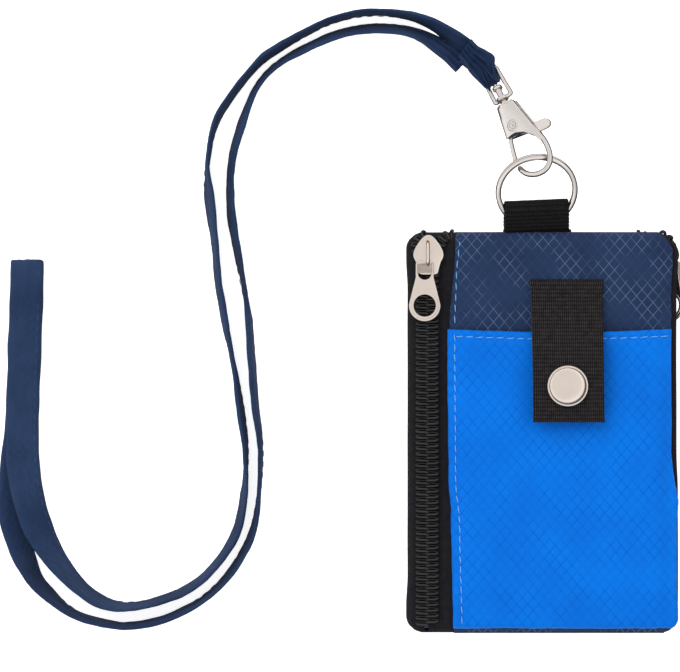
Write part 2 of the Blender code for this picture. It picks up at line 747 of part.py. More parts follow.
def make_pull(name, frame):
    """A flat zip pull: a slot that the slider's bridge passes through and a round hole with a raised rim."""
    top = PULL_BAR / 2
    bottom = top - PULL_LENGTH
    end_radius = PULL_END_WIDTH / 2
    hole = (0, bottom + end_radius)
    neck = PULL_TOP_WIDTH / 2
    corner = PULL_CORNER_SHARE * PULL_BAR
    outline = arc(hole, end_radius, 180, 360, 14)
    outline += [(neck, top - PULL_SLOT_LENGTH - 2 * PULL_BAR)]
    outline += arc((neck - corner, top - corner), corner, 0, 90, 4)
    outline += arc((-neck + corner, top - corner), corner, 90, 180, 4)
    outline += [(-neck, top - PULL_SLOT_LENGTH - 2 * PULL_BAR)]
    half_slot = PULL_SLOT_WIDTH / 2
    slot_top = top - PULL_BAR
    slot = [(half_slot, slot_top), (-half_slot, slot_top)]
    slot += arc((0, slot_top - PULL_SLOT_LENGTH + half_slot), half_slot, 180, 360, 10)
    half = PULL_THICKNESS / 2
    pull = flat(name, [outline, slot, arc(hole, PULL_HOLE_RADIUS, 0, 345, 23)], -half, half, NICKEL, frame)
    rim_outer = arc(hole, PULL_HOLE_RADIUS + PULL_RIM, 5, 350, 23)
    rim_inner = arc(hole, PULL_HOLE_RADIUS - PULL_RIM_RISE / 2, 5, 350, 23)
    rim = flat("rim", [rim_outer, rim_inner], -half - PULL_RIM_RISE / 2, half + PULL_RIM_RISE, NICKEL, frame)
    cut(pull, rim, "UNION")
    shade(pull)
    return pull


# Snap tab and fastener

def snap_centre():
    return TAB_LEFT + TAB_WIDTH / 2


def snap_base():
    """The height of the pocket's outer face under the snap."""
    return WALLET_DEPTH + CLEAR + POCKET_WALL + POCKET_ROOM


def snap_heights():
    base = snap_base()
    stud_top = base + CLEAR + STUD_FLANGE
    socket_low = stud_top + CLEAR
    tab_low = socket_low + SOCKET_HEIGHT + CLEAR
    return base, socket_low, tab_low


def make_tab():
    base, socket_low, tab_low = snap_heights()
    top_low = WALLET_DEPTH + CLEAR
    mouth = POCKET_TOP
    path = [
        (TAB_TOP, top_low), (TAB_TOP - 6 * TAB_WALL, top_low), (mouth + 5 * TAB_WALL, top_low + CLEAR),
        (mouth, base + 2 * CLEAR), ((mouth + SNAP_Y + 2 * CAP_RADIUS) / 2 - CLEAR, tab_low - 2 * CLEAR),
        (SNAP_Y + CAP_RADIUS, tab_low), (SNAP_Y, tab_low), (TAB_END, tab_low)]
    lower = smooth_points([(0, y, z) for y, z in path], 3)
    upper = []
    for i, point in enumerate(lower):
        a = lower[max(i - 1, 0)]
        b = lower[min(i + 1, len(lower) - 1)]
        along = (b - a).normalized()
        upper.append(point + Vector((0, along.z, -along.y)) * TAB_WALL)
    side = [(p.y, p.z) for p in lower] + [(p.y, p.z) for p in reversed(upper)]
    turn = Matrix(((0, 0, 1, 0), (1, 0, 0, 0), (0, 1, 0, 0), (0, 0, 0, 1)))
    tab = plate("snap_tab", side, TAB_LEFT, TAB_LEFT + TAB_WIDTH, WEBBING, turn)
    place = Matrix.Translation((snap_centre(), SNAP_Y, 0))
    hole = cylinder("post hole", CAP_POST_RADIUS + CLEAR, base, base + OVERRUN, frame=place)
    cut(tab, hole)
    shade(tab, 25)
    return tab


def make_snap():
    base, socket_low, tab_low = snap_heights()
    place = Matrix.Translation((snap_centre(), SNAP_Y, 0))
    cap_low = tab_low + TAB_WALL + CLEAR / 2
    dome = [(0, cap_low + CAP_EDGE + CAP_DOME)]
    for turn in (math.radians(a) for a in (72, 54, 36, 18, 0)):
        dome.append((CAP_RADIUS * math.cos(turn), cap_low + CAP_EDGE + CAP_DOME * math.sin(turn)))
    post_low = socket_low + SOCKET_HEIGHT + CLEAR / 2
    cap = turned("snap_cap", dome + [
        (CAP_RADIUS, cap_low + CAP_EDGE / 2), (CAP_RADIUS - CAP_EDGE / 2, cap_low),
        (CAP_POST_RADIUS, cap_low), (CAP_POST_RADIUS, post_low), (0, post_low)], NICKEL, place)
    lip = SOCKET_BORE + CAP_EDGE
    socket_top = socket_low + SOCKET_HEIGHT
    socket = turned("snap_socket", [
        (lip, socket_top), (SOCKET_RADIUS, socket_top - CAP_EDGE / 2),
        (SOCKET_RADIUS, socket_low + CAP_EDGE / 2), (SOCKET_RADIUS - CAP_EDGE / 2, socket_low),
        (lip, socket_low), (SOCKET_BORE, socket_low + CAP_EDGE),
        (SOCKET_BORE, socket_top - CAP_EDGE)], NICKEL, place)
    stud_low = base + CLEAR
    flange_top = stud_low + STUD_FLANGE
    knob_top = flange_top + STUD_KNOB_RISE
    inside = base - POCKET_WALL
    shank_low = inside - CLEAR - STUD_BACK_WALL
    stud = turned("snap_stud", [
        (0, knob_top), (STUD_KNOB_RADIUS - STUD_FLANGE, knob_top),
        (STUD_KNOB_RADIUS, knob_top - STUD_FLANGE),
        (STUD_KNOB_RADIUS, flange_top + STUD_FLANGE), (STUD_KNOB_RADIUS - CLEAR, flange_top),
        (STUD_RADIUS, flange_top - CLEAR / 2), (STUD_RADIUS, stud_low), (STUD_SHANK_RADIUS, stud_low),
        (STUD_SHANK_RADIUS, shank_low), (0, shank_low)], NICKEL, place)
    stud_back = turned("snap_stud_back", [
        (STUD_SHANK_RADIUS + CLEAR, inside - CLEAR), (STUD_BACK_RADIUS, inside - CLEAR),
        (STUD_BACK_RADIUS, shank_low), (STUD_SHANK_RADIUS + CLEAR, shank_low)], NICKEL, place)
    return cap, socket, stud, stud_back


def pierce_pocket(pocket):
    base = snap_base()
    hole = cylinder(
        "stud hole", STUD_SHANK_RADIUS + CLEAR, base - 2 * POCKET_WALL, base + POCKET_WALL,
        frame=Matrix.Translation((snap_centre(), SNAP_Y, 0)))
    cut(pocket, hole)


# Split ring and its keeper

def ring_frame():
    tilt = Matrix.Rotation(math.radians(RING_TILT_DEG), 4, "X")
    roll = Matrix.Rotation(math.radians(RING_ROLL_DEG), 4, "Y")
    return Matrix.Translation(RING_CENTER) @ tilt @ roll


def make_ring(frame):
    """Two flat turns of wire that step over each other once, with its ends on opposite faces."""
    middle = RING_OUTER / 2 - RING_WIRE / 2
    half = RING_WIRE / 2
    tall = RING_LAYER / 2
    round_in = RING_LAYER / 4
    section = []
    for side, rise in ((1, -1), (1, 1), (-1, 1), (-1, -1)):
        corner = [(side * half, rise * (tall - round_in)), (side * (half - round_in), rise * tall)]
        section += corner if side == rise else reversed(corner)
    steps = round(RING_SWEEP_DEG / RING_STEP_DEG)
    rings = []
    for k in range(steps + 1):
        turn = RING_SWEEP_DEG * k / steps
        angle = math.radians(RING_START_DEG + turn)
        height = RING_PITCH * (ease((turn - RING_RAMP_START_DEG) / RING_RAMP_DEG) - 0.5)
        rings.append([((middle + r) * math.cos(angle), (middle + r) * math.sin(angle), height + h)
                      for r, h in section])
    ring = loft("split_ring", rings, NICKEL, frame)
    shade(ring, 50)
    return ring


def make_keeper(frame):
    """Webbing folded round the ring: flat where it leaves the top seam, tilted with the ring at its fold."""
    radius = RING_OUTER / 2
    inner_radius = radius - RING_WIRE
    edge = KEEPER_WIDTH / 2
    fold = -math.sqrt(inner_radius ** 2 - edge ** 2) + KEEPER_FOLD_GAP
    tall = RING_PITCH + RING_LAYER / 2 + KEEPER_ROOM / 2
    floor = -radius - CLEAR
    start = floor - CLEAR / 2
    mouth = KEEPER_MOUTH_SHARE * tall
    bend = fold - tall / 2 - CLEAR
    wide = floor + KEEPER_WALL
    inner = [(start, mouth), (start, -mouth), (wide, -tall), (bend, -tall)]
    inner += arc((fold - tall, 0), tall, -60, 60, 4)
    inner += [(bend, tall), (wide, tall)]
    high = tall + KEEPER_WALL
    base = (Vector((0, WALLET_HEIGHT / 2 + CLEAR, SEAM_HEIGHT)) - Vector((0, *RING_CENTER[1:]))).length
    outer = [(-base, -KEEPER_WALL), (start, -mouth - KEEPER_WALL), (wide, -high), (bend, -high)]
    outer += arc((fold - tall, 0), high, -60, 60, 4)
    outer += [(bend, high), (wide, high), (start, mouth + KEEPER_WALL), (-base, KEEPER_WALL)]
    turn = Matrix(((0, 0, 1, 0), (1, 0, 0, 0), (0, 1, 0, 0), (0, 0, 0, 1)))
    keeper = flat("ring_keeper", [outer, inner], -edge, edge, WEBBING)
    keeper.data.transform(turn)
    top_frame = ring_frame()
    seam = Matrix.Translation((RING_CENTER[0], WALLET_HEIGHT / 2 + CLEAR, SEAM_HEIGHT))
    back_to_ring = top_frame.inverted()
    for vertex in keeper.data.vertices:
        x, y, z = vertex.co
        share = ease((y + base) / (start + base))
        width = 1 + (KEEPER_BASE_WIDTH / KEEPER_WIDTH - 1) * (1 - share)
        flat_place = seam @ Vector(((x + edge * KEEPER_SHIFT_SHARE) * width, y + base, z))
        ring_place = top_frame @ Vector((x, y, z))
        vertex.co = back_to_ring @ flat_place.lerp(ring_place, share)
    keeper.matrix_world = frame
    keeper.data.materials.append(WEBBING)
    shade(keeper, 40)
    return keeper


# Trigger snap

def snap_frame():
    turns = ((SNAP_HEADING_DEG, "Z"), (SNAP_SLOPE_DEG, "X"), (SNAP_ROLL_DEG, "Y"))
    frame = Matrix.Translation(SNAP_ORIGIN)
    for angle, axis in turns:
        frame = frame @ Matrix.Rotation(math.radians(angle), 4, axis)
    return frame


HOOK_EDGE_SHARES = (
    (-0.21, 0.0), (0.24, 0.0), (0.31, 0.14), (0.35, 0.18), (0.51, 0.5), (0.6, 0.68), (0.6, 0.85),
    (0.52, 0.93), (0.3, 0.985), (0.02, 1.0), (-0.2, 0.95), (-0.36, 0.85), (-0.42, 0.725), (-0.315, 0.73),
    (-0.245, 0.835), (-0.09, 0.905), (0.13, 0.925), (0.33, 0.89), (0.43, 0.83), (0.475, 0.74),
    (0.44, 0.62), (0.32, 0.51), (0.15, 0.435), (-0.1, 0.415), (-0.22, 0.44), (-0.33, 0.375),
    (-0.225, 0.02))
HOOK_BODY_SHARES = (
    (-0.21, 0.0), (0.24, 0.0), (0.31, 0.14), (0.43, 0.38), (0.55, 0.6), (0.44, 0.57), (0.32, 0.5),
    (0.15, 0.425), (-0.1, 0.405), (-0.3, 0.415), (-0.33, 0.375))
LEVER_SLOT_SHARES = (
    (-0.7, 0.13), (0.1, 0.1), (0.25, 0.14), (0.7, 0.25), (0.95, 0.4), (0.95, 0.55), (0.42, 0.545),
    (0.28, 0.54), (-0.7, 0.66))
LEVER_SHARES = (
    (0.17, 0.2), (0.46, 0.3), (0.86, 0.425), (0.9, 0.46), (0.86, 0.5), (0.43, 0.47), (0.16, 0.41),
    (-0.08, 0.43), (-0.2, 0.5), (-0.3, 0.685), (-0.385, 0.685), (-0.33, 0.47), (-0.2, 0.24),
    (-0.02, 0.19))


def hook_point(share):
    across, down = share
    return HOOK_CLAW_WIDTH * across, HOOK_COLLAR - HOOK_LENGTH * down


def make_hook(frame):
    """The cast body, slotted for the lever, with the claw and the swivel post."""
    edge = [hook_point(share) for share in HOOK_EDGE_SHARES]
    smooth = smooth_points([(x, y, 0) for x, y in edge[3:-2]], 2)
    claw_outline = [(p.x, p.y) for p in smooth] + edge[-2:] + edge[:3]
    half = CLAW_THICKNESS / 2
    hook = flat("clasp_hook", [claw_outline], -half, half, NICKEL, frame)
    body = [hook_point(share) for share in HOOK_BODY_SHARES]
    thick = HOOK_THICKNESS / 2
    cut(hook, flat("body", [body], -thick, thick, NICKEL, frame), "UNION")
    root = HOOK_COLLAR - RIVET_RADIUS
    post_top = HOOK_COLLAR + POST_RISE
    for name, radius, low, high in (
            ("collar", COLLAR_RADIUS, root, HOOK_COLLAR + CLEAR),
            ("post", POST_RADIUS, root, post_top),
            ("post head", POST_HEAD, post_top - RIVET_RADIUS, post_top + CLEAR)):
        cut(hook, cylinder(name, radius, low, high, NICKEL, frame, 20, "Y"), "UNION")
    slot = [hook_point(share) for share in LEVER_SLOT_SHARES]
    cut(hook, flat("lever slot", [slot], -LEVER_SLOT / 2, LEVER_SLOT / 2, frame=frame))
    cut(hook, cylinder("rivet hole", RIVET_RADIUS + CLEAR, -thick - OVERRUN, thick + OVERRUN, frame=frame))
    shade(hook)
    return hook


def make_lever(frame):
    outline = smooth_points([(*hook_point(s), 0) for s in LEVER_SHARES], 2, closed=True)
    half = LEVER_THICKNESS / 2
    hole = arc((0, 0), RIVET_RADIUS + CLEAR, 0, 340, 17)
    lever = flat("clasp_gate", [[(p.x, p.y) for p in outline], hole], -half, half, NICKEL, frame)
    shade(lever)
    return lever


def make_rivet(frame):
    face = HOOK_THICKNESS / 2 + CLEAR / 2
    top = face + RIVET_HEAD_HEIGHT
    dimple = RIVET_RADIUS / 2
    rim = top - dimple / 2
    return turned("gate_rivet", [
        (0, rim), (dimple, rim), (RIVET_RADIUS, top), (RIVET_HEAD - dimple / 2, top), (RIVET_HEAD, rim),
        (RIVET_HEAD, face), (RIVET_RADIUS, face), (RIVET_RADIUS, -face), (RIVET_HEAD, -face),
        (RIVET_HEAD, -top), (0, -top)], NICKEL, frame, 24)


def make_spring(frame):
    """A bent wire that holds the gate shut, between the slot's upper end and the lever's shoulder."""
    reach = LEVER_HUB + CLEAR + 2 * SPRING_WIRE
    path = [(*p, 0) for p in arc((0, 0), reach + RIVET_RADIUS, 38, 140, 10)]
    return wire("gate_spring", path, SPRING_WIRE, NICKEL, frame, resolution=1)


def make_eye(frame):
    """A rectangular wire eye with a bored boss that the swivel post turns in."""
    half = EYE_HALF_WIDTH - EYE_WIRE / 2
    low = EYE_START + EYE_WIRE / 2
    high = EYE_START + EYE_LENGTH - EYE_WIRE / 2
    corner = EYE_WIRE
    path = []
    for sx, y, start in ((1, low, 270), (1, high, 0), (-1, high, 90), (-1, low, 180)):
        sy = 1 if y == low else -1
        path += [(*p, 0) for p in arc((sx * (half - corner), y + sy * corner), corner, start, start + 90, 4)]
    eye = wire("clasp_eye", path, EYE_WIRE / 2, NICKEL, frame, closed=True)
    boss = cylinder("eye boss", EYE_BOSS, EYE_START, EYE_START + EYE_WIRE, NICKEL, frame, axis="Y")
    cut(eye, boss, "UNION")
    cut(eye, cylinder("eye bore", POST_RADIUS + CLEAR, 0, EYE_START + 2 * EYE_WIRE, frame=frame, axis="Y"))
    shade(eye)
    return eye


# Lanyard

# Picture place, roll of the ribbon's width from level in degrees, lift off the table in shares of its width
ROUTE_TO_NECK = (
    ((474, 60), 165, 0.12), ((452, 38), 120, 0.1), ((425, 21), 102, 0.02), ((394, 14), 98, 0),
    ((360, 14), 98, 0), ((326, 23), 98, 0), ((292, 41), 98, 0), ((262, 60), 98, 0), ((237, 89), 98, 0),
    ((216, 123), 96, 0), ((208, 160), 90, 0), ((209, 194), 75, 0), ((214, 232), 80, 0),
    ((220, 290), 82, 0), ((226, 328), 84, 0), ((233, 360), 90, 0), ((240, 402), 98, 0),
    ((245, 440), 97, 0), ((246, 468), 92, 0), ((244, 496), 82, 0), ((237, 530), 80, 0),
    ((223, 556), 80, 0), ((199, 581), 80, 0), ((166, 598), 80, 0), ((133, 606), 78, 0),
    ((104, 602), 72, 0.02), ((78, 584), 62, 0.1), ((55, 556), 46, 0.22), ((36, 520), 26, 0.34),
    ((25, 474), 8, 0.38), ((23, 420), 2, 0.37), ((25, 350), 0, 0.37), ((27, 290), 0, 0.37))
ROUTE_FOLD = (((27.5, 268), None, 0.3), ((27.6, 261), None, 0.16), ((27.5, 269), None, 0.03))
ROUTE_FROM_NECK = (
    ((27, 292), 180, 0), ((25, 350), 180, 0), ((22, 420), 178, 0), ((16, 474), 170, 0),
    ((15, 522), 150, 0), ((32, 573), 122, 0), ((55, 599), 108, 0), ((80, 616), 100, 0),
    ((116, 625), 97, 0), ((133, 625), 97, 0), ((166, 618), 97, 0), ((199, 602), 98, 0),
    ((225, 579), 98, 0), ((243, 553), 100, 0), ((254, 528), 98, 0), ((259, 496), 92, 0),
    ((260.5, 468), 86, 0), ((260, 440), 84, 0), ((255, 402), 84, 0), ((252, 360), 82, 0),
    ((248, 314), 88, 0), ((243, 280), 97, 0), ((236, 242), 99, 0), ((231.5, 209), 100, 0),
    ((231, 175), 100, 0), ((236, 144), 99, 0), ((246, 113), 98, 0), ((258, 86), 98, 0),
    ((276, 66), 98, 0), ((298, 53), 100, 0), ((330, 38), 104, 0), ((362, 30), 106, 0),
    ((396, 30), 108, 0), ((424, 38), 115, 0.02), ((446, 52), 140, 0.14), ((462, 66), 160, 0.3))
EYE_LOOP_SHARES = (
    (0.12, 0.37), (-0.05, 0.34), (-0.21, 0.2), (-0.27, 0.0), (-0.21, -0.2), (-0.05, -0.34), (0.12, -0.37))
EYE_RIBBON_SHARE = 0.34
START_POINT = ((463, 56), 20, 0.62)


def strap_route():
    """The route's points with each one's width direction (or none) and its width."""
    def placed(entry):
        (px, py), roll, lift = entry
        x = (px - PICTURE_CENTER[0]) * PICTURE_SCALE
        y = (PICTURE_CENTER[1] - py) * PICTURE_SCALE
        tilt = math.radians(roll or 0)
        half_height = (abs(math.sin(tilt)) * STRAP_WIDTH + abs(math.cos(tilt)) * STRAP_THICKNESS) / 2
        return Vector((x, y, half_height + STRAP_THICKNESS / 20 + lift * STRAP_WIDTH))
    frame = snap_frame()
    across = frame.to_3x3().col[0]
    bar = EYE_START + EYE_LENGTH - EYE_WIRE / 2
    points, widths, rolls = [placed(START_POINT)], [STRAP_WIDTH], [START_POINT[1]]
    fixed = {}
    for along, rise in EYE_LOOP_SHARES:
        fixed[len(points)] = across
        points.append(frame @ Vector((0, bar + along * EYE_LENGTH, rise * EYE_HALF_WIDTH * 2)))
        widths.append(STRAP_WIDTH * EYE_RIBBON_SHARE)
        rolls.append(None)
    for entry in ROUTE_TO_NECK + ROUTE_FOLD + ROUTE_FROM_NECK:
        points.append(placed(entry))
        widths.append(STRAP_WIDTH)
        rolls.append(entry[1])
    directions = []
    for i, roll in enumerate(rolls):
        if i in fixed:
            directions.append(fixed[i])
        elif roll is None:
            directions.append(None)
        else:
            a, b = points[max(i - 1, 0)], points[min(i + 1, len(points) - 1)]
            travel = Vector((b.x - a.x, b.y - a.y, 0)).normalized()
            level = Vector((-travel.y, travel.x, 0))
            tilt = math.radians(roll)
            directions.append(level * math.cos(tilt) + Vector((0, 0, math.sin(tilt))))
    return points, directions, widths


def fill_directions(directions):
    """The width directions with the missing ones read between their neighbours."""
    known = [i for i, d in enumerate(directions) if d is not None]
    filled = []
    for i, direction in enumerate(directions):
        if direction is None:
            a = max(k for k in known if k < i)
            b = min(k for k in known if k > i)
            direction = directions[a].lerp(directions[b], (i - a) / (b - a))
        filled.append(direction)
    return filled


def station_weights(centres):
    """A running count along the ribbon that grows with its length and with how tightly it bends."""
    steps = [b - a for a, b in zip(centres, centres[1:])]
    print("lanyard length, mm:", round(sum(step.length for step in steps) / MM, 1))
    weights = [0.0]
    for i, step in enumerate(steps):
        ahead = steps[min(i + 1, len(steps) - 1)]
        weights.append(weights[-1] + step.length / STRAP_WIDTH + BEND_WEIGHT * step.angle(ahead))
    return weights


def make_strap():
    """One flat ribbon along the route, folded round the eye's bar and at the neck."""
    points, directions, widths = strap_route()
    centres = smooth_points(points, ROUTE_STEPS)
    ways = smooth_points(fill_directions(directions), ROUTE_STEPS)
    spans = [p.x for p in smooth_points([(w, 0, 0) for w in widths], ROUTE_STEPS)]
    weights = station_weights(centres)
    wall = STRAP_THICKNESS / 2
    rings = []
    i = 1
    for k in range(STRAP_STATIONS):
        target = weights[-1] * k / (STRAP_STATIONS - 1)
        while i < len(weights) - 1 and weights[i] < target:
            i += 1
        share = (target - weights[i - 1]) / (weights[i] - weights[i - 1])
        centre = centres[i - 1].lerp(centres[i], share)
        travel = (centres[min(i + 1, len(centres) - 1)] - centres[max(i - 2, 0)]).normalized()
        way = ways[i - 1].lerp(ways[i], share)
        way = (way - travel * way.dot(travel)).normalized()
        out = travel.cross(way) * wall
        side = way * (spans[i - 1] * (1 - share) + spans[i] * share) / 2
        rings.append([centre + side + out, centre - side + out, centre - side - out, centre + side - out])
    strap = loft("lanyard_strap", rings, STRAP)
    shade(strap, 60)
    return strap


# The whole object

def build():
    shells = wallet_shells()
    pierce_pocket(shells[1])
    wallet = shells + window_and_divider() + zip_tapes()
    sliders = []
    pulls = []
    for prefix, frame in (("front", front_zip_frame()), ("back", back_zip_frame())):
        wallet += make_chain(prefix, frame)
        slider = make_slider(f"{prefix}_slider", frame)
        pull = make_pull(f"{prefix}_pull", pull_frame(frame))
        carry(slider, pull)
        sliders.append(slider)
        pulls.append(pull)
    tab = make_tab()
    cap, socket, stud, stud_back = make_snap()
    wallet += [stud, stud_back]
    tab_joint = joint("tab_joint", (snap_centre(), TAB_TOP, WALLET_DEPTH + CLEAR + TAB_WALL / 2))
    carry(tab_joint, tab, cap, socket)
    ring_axes = ring_frame()
    ring = make_ring(ring_axes)
    keeper = make_keeper(ring_axes)
    snap_axes = snap_frame()
    hook = make_hook(snap_axes)
    lever = make_lever(snap_axes)
    rivet = make_rivet(snap_axes)
    spring = make_spring(snap_axes)
    eye = make_eye(snap_axes)
    strap = make_strap()
    bar = snap_axes @ Vector((0, EYE_START + EYE_LENGTH - EYE_WIRE / 2, 0))
    eye_joint = joint("eye_joint", bar)
    wallet_joint = joint("wallet_joint", (0, WALLET_HEIGHT / 2 + CLEAR / 2, SEAM_HEIGHT))
    carry(wallet_joint, tab_joint, *wallet, *sliders)
    carry(keeper, wallet_joint)
    carry(ring, keeper)
    carry(hook, lever, rivet, spring, ring)
    carry(eye, hook)
    carry(eye_joint, eye)
    carry(strap, eye_joint)
    centre_on_origin(strap)


def centre_on_origin(root):
    """Moves the whole object so that the origin is the middle of its footprint without the lanyard."""
    graph = bpy.context.evaluated_depsgraph_get()
    corners = []
    for obj in MODEL.objects:
        if obj.type == "MESH" and obj != root:
            shape = obj.evaluated_get(graph)
            corners += [shape.matrix_world @ vertex.co for vertex in shape.data.vertices]
    for axis in (0, 1):
        places = [corner[axis] for corner in corners]
        middle = (min(places) + max(places)) / 2
        for obj in (root, *CUTTERS.objects):
            obj.location[axis] -= middle
    bpy.context.view_layer.update()


build()
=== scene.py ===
# %% [markdown]
# # A zip wallet on a neck lanyard
# The real object is a flat cloth wallet, 82 by 120 mm, with a long zip on each face, an open pocket under a
# snap tab and a badge window at the back. A split ring and a trigger snap hang it on a lanyard of folded
# cloth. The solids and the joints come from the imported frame. This script makes what the eye sees: cloth with
# its seams and stitches, woven tapes, nylon coils and polished nickel.

# %% Load the frame
import json
import math

import bmesh
import bpy
from mathutils import Matrix, Vector, noise


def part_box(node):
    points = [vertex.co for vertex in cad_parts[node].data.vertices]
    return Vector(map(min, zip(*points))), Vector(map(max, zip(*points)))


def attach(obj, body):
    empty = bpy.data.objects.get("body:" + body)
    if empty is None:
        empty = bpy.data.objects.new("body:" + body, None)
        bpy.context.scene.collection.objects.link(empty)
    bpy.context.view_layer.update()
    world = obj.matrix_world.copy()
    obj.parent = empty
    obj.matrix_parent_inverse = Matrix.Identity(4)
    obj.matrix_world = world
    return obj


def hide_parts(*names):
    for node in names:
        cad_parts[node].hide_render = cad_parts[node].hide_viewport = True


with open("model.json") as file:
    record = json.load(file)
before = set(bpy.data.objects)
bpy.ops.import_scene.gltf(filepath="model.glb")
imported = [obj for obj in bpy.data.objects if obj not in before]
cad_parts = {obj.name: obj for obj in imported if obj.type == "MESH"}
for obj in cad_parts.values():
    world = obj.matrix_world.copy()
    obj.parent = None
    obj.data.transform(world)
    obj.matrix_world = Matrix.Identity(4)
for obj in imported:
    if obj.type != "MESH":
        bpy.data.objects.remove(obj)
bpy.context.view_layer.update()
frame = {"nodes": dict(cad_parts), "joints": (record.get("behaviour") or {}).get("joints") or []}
MM = 0.001
JOINTS = {joint["name"]: joint for joint in frame["joints"]}
print("joints:", len(JOINTS), "solids:", len(frame["nodes"]))

# %% [markdown]
# The joints say where things are. The wallet's own middle is a fixed way below the hinge of its top seam,
# and the trigger snap's three axes are those of its eye, its swivel and its lever. A small function turns
# sizes in millimetres, measured from the wallet's middle, into places in the scene.

# %% Places from the joints
SEAM_TOP = 60.15
seam = Vector(JOINTS["keeper_flex"]["pos_m"])
HOME = Vector((seam.x, seam.y - SEAM_TOP * MM, 0))


def at(x, y, z):
    return HOME + Vector((x, y, z)) * MM


def axes_at(origin, x_axis, y_axis, z_axis):
    turn = Matrix((x_axis, y_axis, z_axis)).transposed().to_4x4()
    return Matrix.Translation(origin) @ turn


def axis(joint):
    return Vector(JOINTS[joint]["axis"]).normalized()


FROM_MM = Matrix.Diagonal((MM, MM, MM, 1))
SNAP = axes_at(JOINTS["gate_hinge"]["pos_m"], axis("eye_hinge"), axis("hook_swivel"), axis("gate_hinge"))
RING_MIDDLE = Vector(JOINTS["keeper_on_ring"]["pos_m"])
print("wallet's middle:", [round(v / MM, 2) for v in HOME])

# %% [markdown]
# The photograph looks straight down on the wallet from far away, so parallel edges stay parallel. A long lens
# at two and a half metres gives that view. The picture is 205 mm wide at the height of the table.

# %% Camera
PICTURE_WIDTH = 205.0 * MM
PICTURE_MIDDLE = at(-60.9, 28.94, 0)
CAMERA_DISTANCE = 2.5
SENSOR = 36.0
lens = bpy.data.cameras.new("camera")
lens.sensor_width = SENSOR
lens.lens = SENSOR * CAMERA_DISTANCE / PICTURE_WIDTH
lens.clip_end = 20
camera = bpy.data.objects.new("camera", lens)
bpy.context.scene.collection.objects.link(camera)
camera.location = PICTURE_MIDDLE + Vector((0, 0, CAMERA_DISTANCE))
bpy.context.scene.camera = camera
print("lens:", round(lens.lens), "mm")

# %% [markdown]
# A white table and broad soft lights give the plain look of a catalogue picture. Polished metal shows what
# is round it, so the world is bright above, dark near the horizon and darkest at the lower right. Mirror-like
# rays see the table as a dark card, which draws dark lines along the steep sides of the wires. The plain
# Standard view keeps the blue strong.

# %% Floor, world and lights
FLOOR_SIZE = 6.0
floor_form = bmesh.new()
bmesh.ops.create_grid(floor_form, x_segments=1, y_segments=1, size=FLOOR_SIZE / 2)
floor_mesh = bpy.data.meshes.new("floor")
floor_form.to_mesh(floor_mesh)
floor_form.free()
floor = bpy.data.objects.new("floor", floor_mesh)
bpy.context.scene.collection.objects.link(floor)
floor_look = bpy.data.materials.new("white table")
floor_look.use_nodes = True
paint = floor_look.node_tree.nodes["Principled BSDF"]
paint.inputs["Base Color"].default_value = (0.95, 0.95, 0.95, 1)
paint.inputs["Emission Color"].default_value = (1, 1, 1, 1)
paint.inputs["Emission Strength"].default_value = 0.75
paint.inputs["Roughness"].default_value = 0.55
paint.inputs["Specular IOR Level"].default_value = 0.3
black_card = floor_look.node_tree.nodes.new("ShaderNodeEmission")
black_card.inputs["Color"].default_value = (0.13, 0.12, 0.12, 1)
path_kind = floor_look.node_tree.nodes.new("ShaderNodeLightPath")
either = floor_look.node_tree.nodes.new("ShaderNodeMixShader")
out_node = floor_look.node_tree.nodes["Material Output"]
floor_look.node_tree.links.new(path_kind.outputs["Is Glossy Ray"], either.inputs["Fac"])
floor_look.node_tree.links.new(paint.outputs["BSDF"], either.inputs[1])
floor_look.node_tree.links.new(black_card.outputs["Emission"], either.inputs[2])
floor_look.node_tree.links.new(either.outputs["Shader"], out_node.inputs["Surface"])
floor_mesh.materials.append(floor_look)

world = bpy.data.worlds.new("studio")
bpy.context.scene.world = world
world.use_nodes = True
sky = world.node_tree
sky.nodes.clear()
where = sky.nodes.new("ShaderNodeTexCoord")
split = sky.nodes.new("ShaderNodeSeparateXYZ")
ramp = sky.nodes.new("ShaderNodeValToRGB")
light = sky.nodes.new("ShaderNodeBackground")
end = sky.nodes.new("ShaderNodeOutputWorld")
sky.links.new(where.outputs["Generated"], split.inputs[0])
lean = sky.nodes.new("ShaderNodeMath")
lean.operation = "SUBTRACT"
sky.links.new(split.outputs["Y"], lean.inputs[0])
sky.links.new(split.outputs["X"], lean.inputs[1])
height = sky.nodes.new("ShaderNodeMath")
height.operation = "MULTIPLY_ADD"
height.inputs[1].default_value = 0.2
sky.links.new(lean.outputs[0], height.inputs[0])
sky.links.new(split.outputs["Z"], height.inputs[2])
sky.links.new(height.outputs[0], ramp.inputs[0])
sky.links.new(ramp.outputs[0], light.inputs["Color"])
sky.links.new(light.outputs[0], end.inputs[0])
SKY_STOPS = ((0.0, 0.03), (0.14, 0.08), (0.3, 0.7), (0.42, 1.0), (0.56, 1.0), (0.74, 0.76), (1.0, 0.74))
stops = ramp.color_ramp.elements
while len(stops) < len(SKY_STOPS):
    stops.new(0.5)
for stop, (place, grey) in zip(stops, SKY_STOPS):
    stop.position = place
    stop.color = (grey, grey, grey * 1.01, 1)
light.inputs["Strength"].default_value = 1.0
bpy.context.scene.view_settings.view_transform = "Standard"


def area_light(name, place, target, size, power):
    lamp = bpy.data.lights.new(name, "AREA")
    lamp.shape = "SQUARE"
    lamp.size = size
    lamp.energy = power
    holder = bpy.data.objects.new(name, lamp)
    bpy.context.scene.collection.objects.link(holder)
    holder.visible_glossy = False
    holder.location = place
    holder.rotation_euler = (Vector(target) - Vector(place)).to_track_quat("-Z", "Y").to_euler()
    return holder


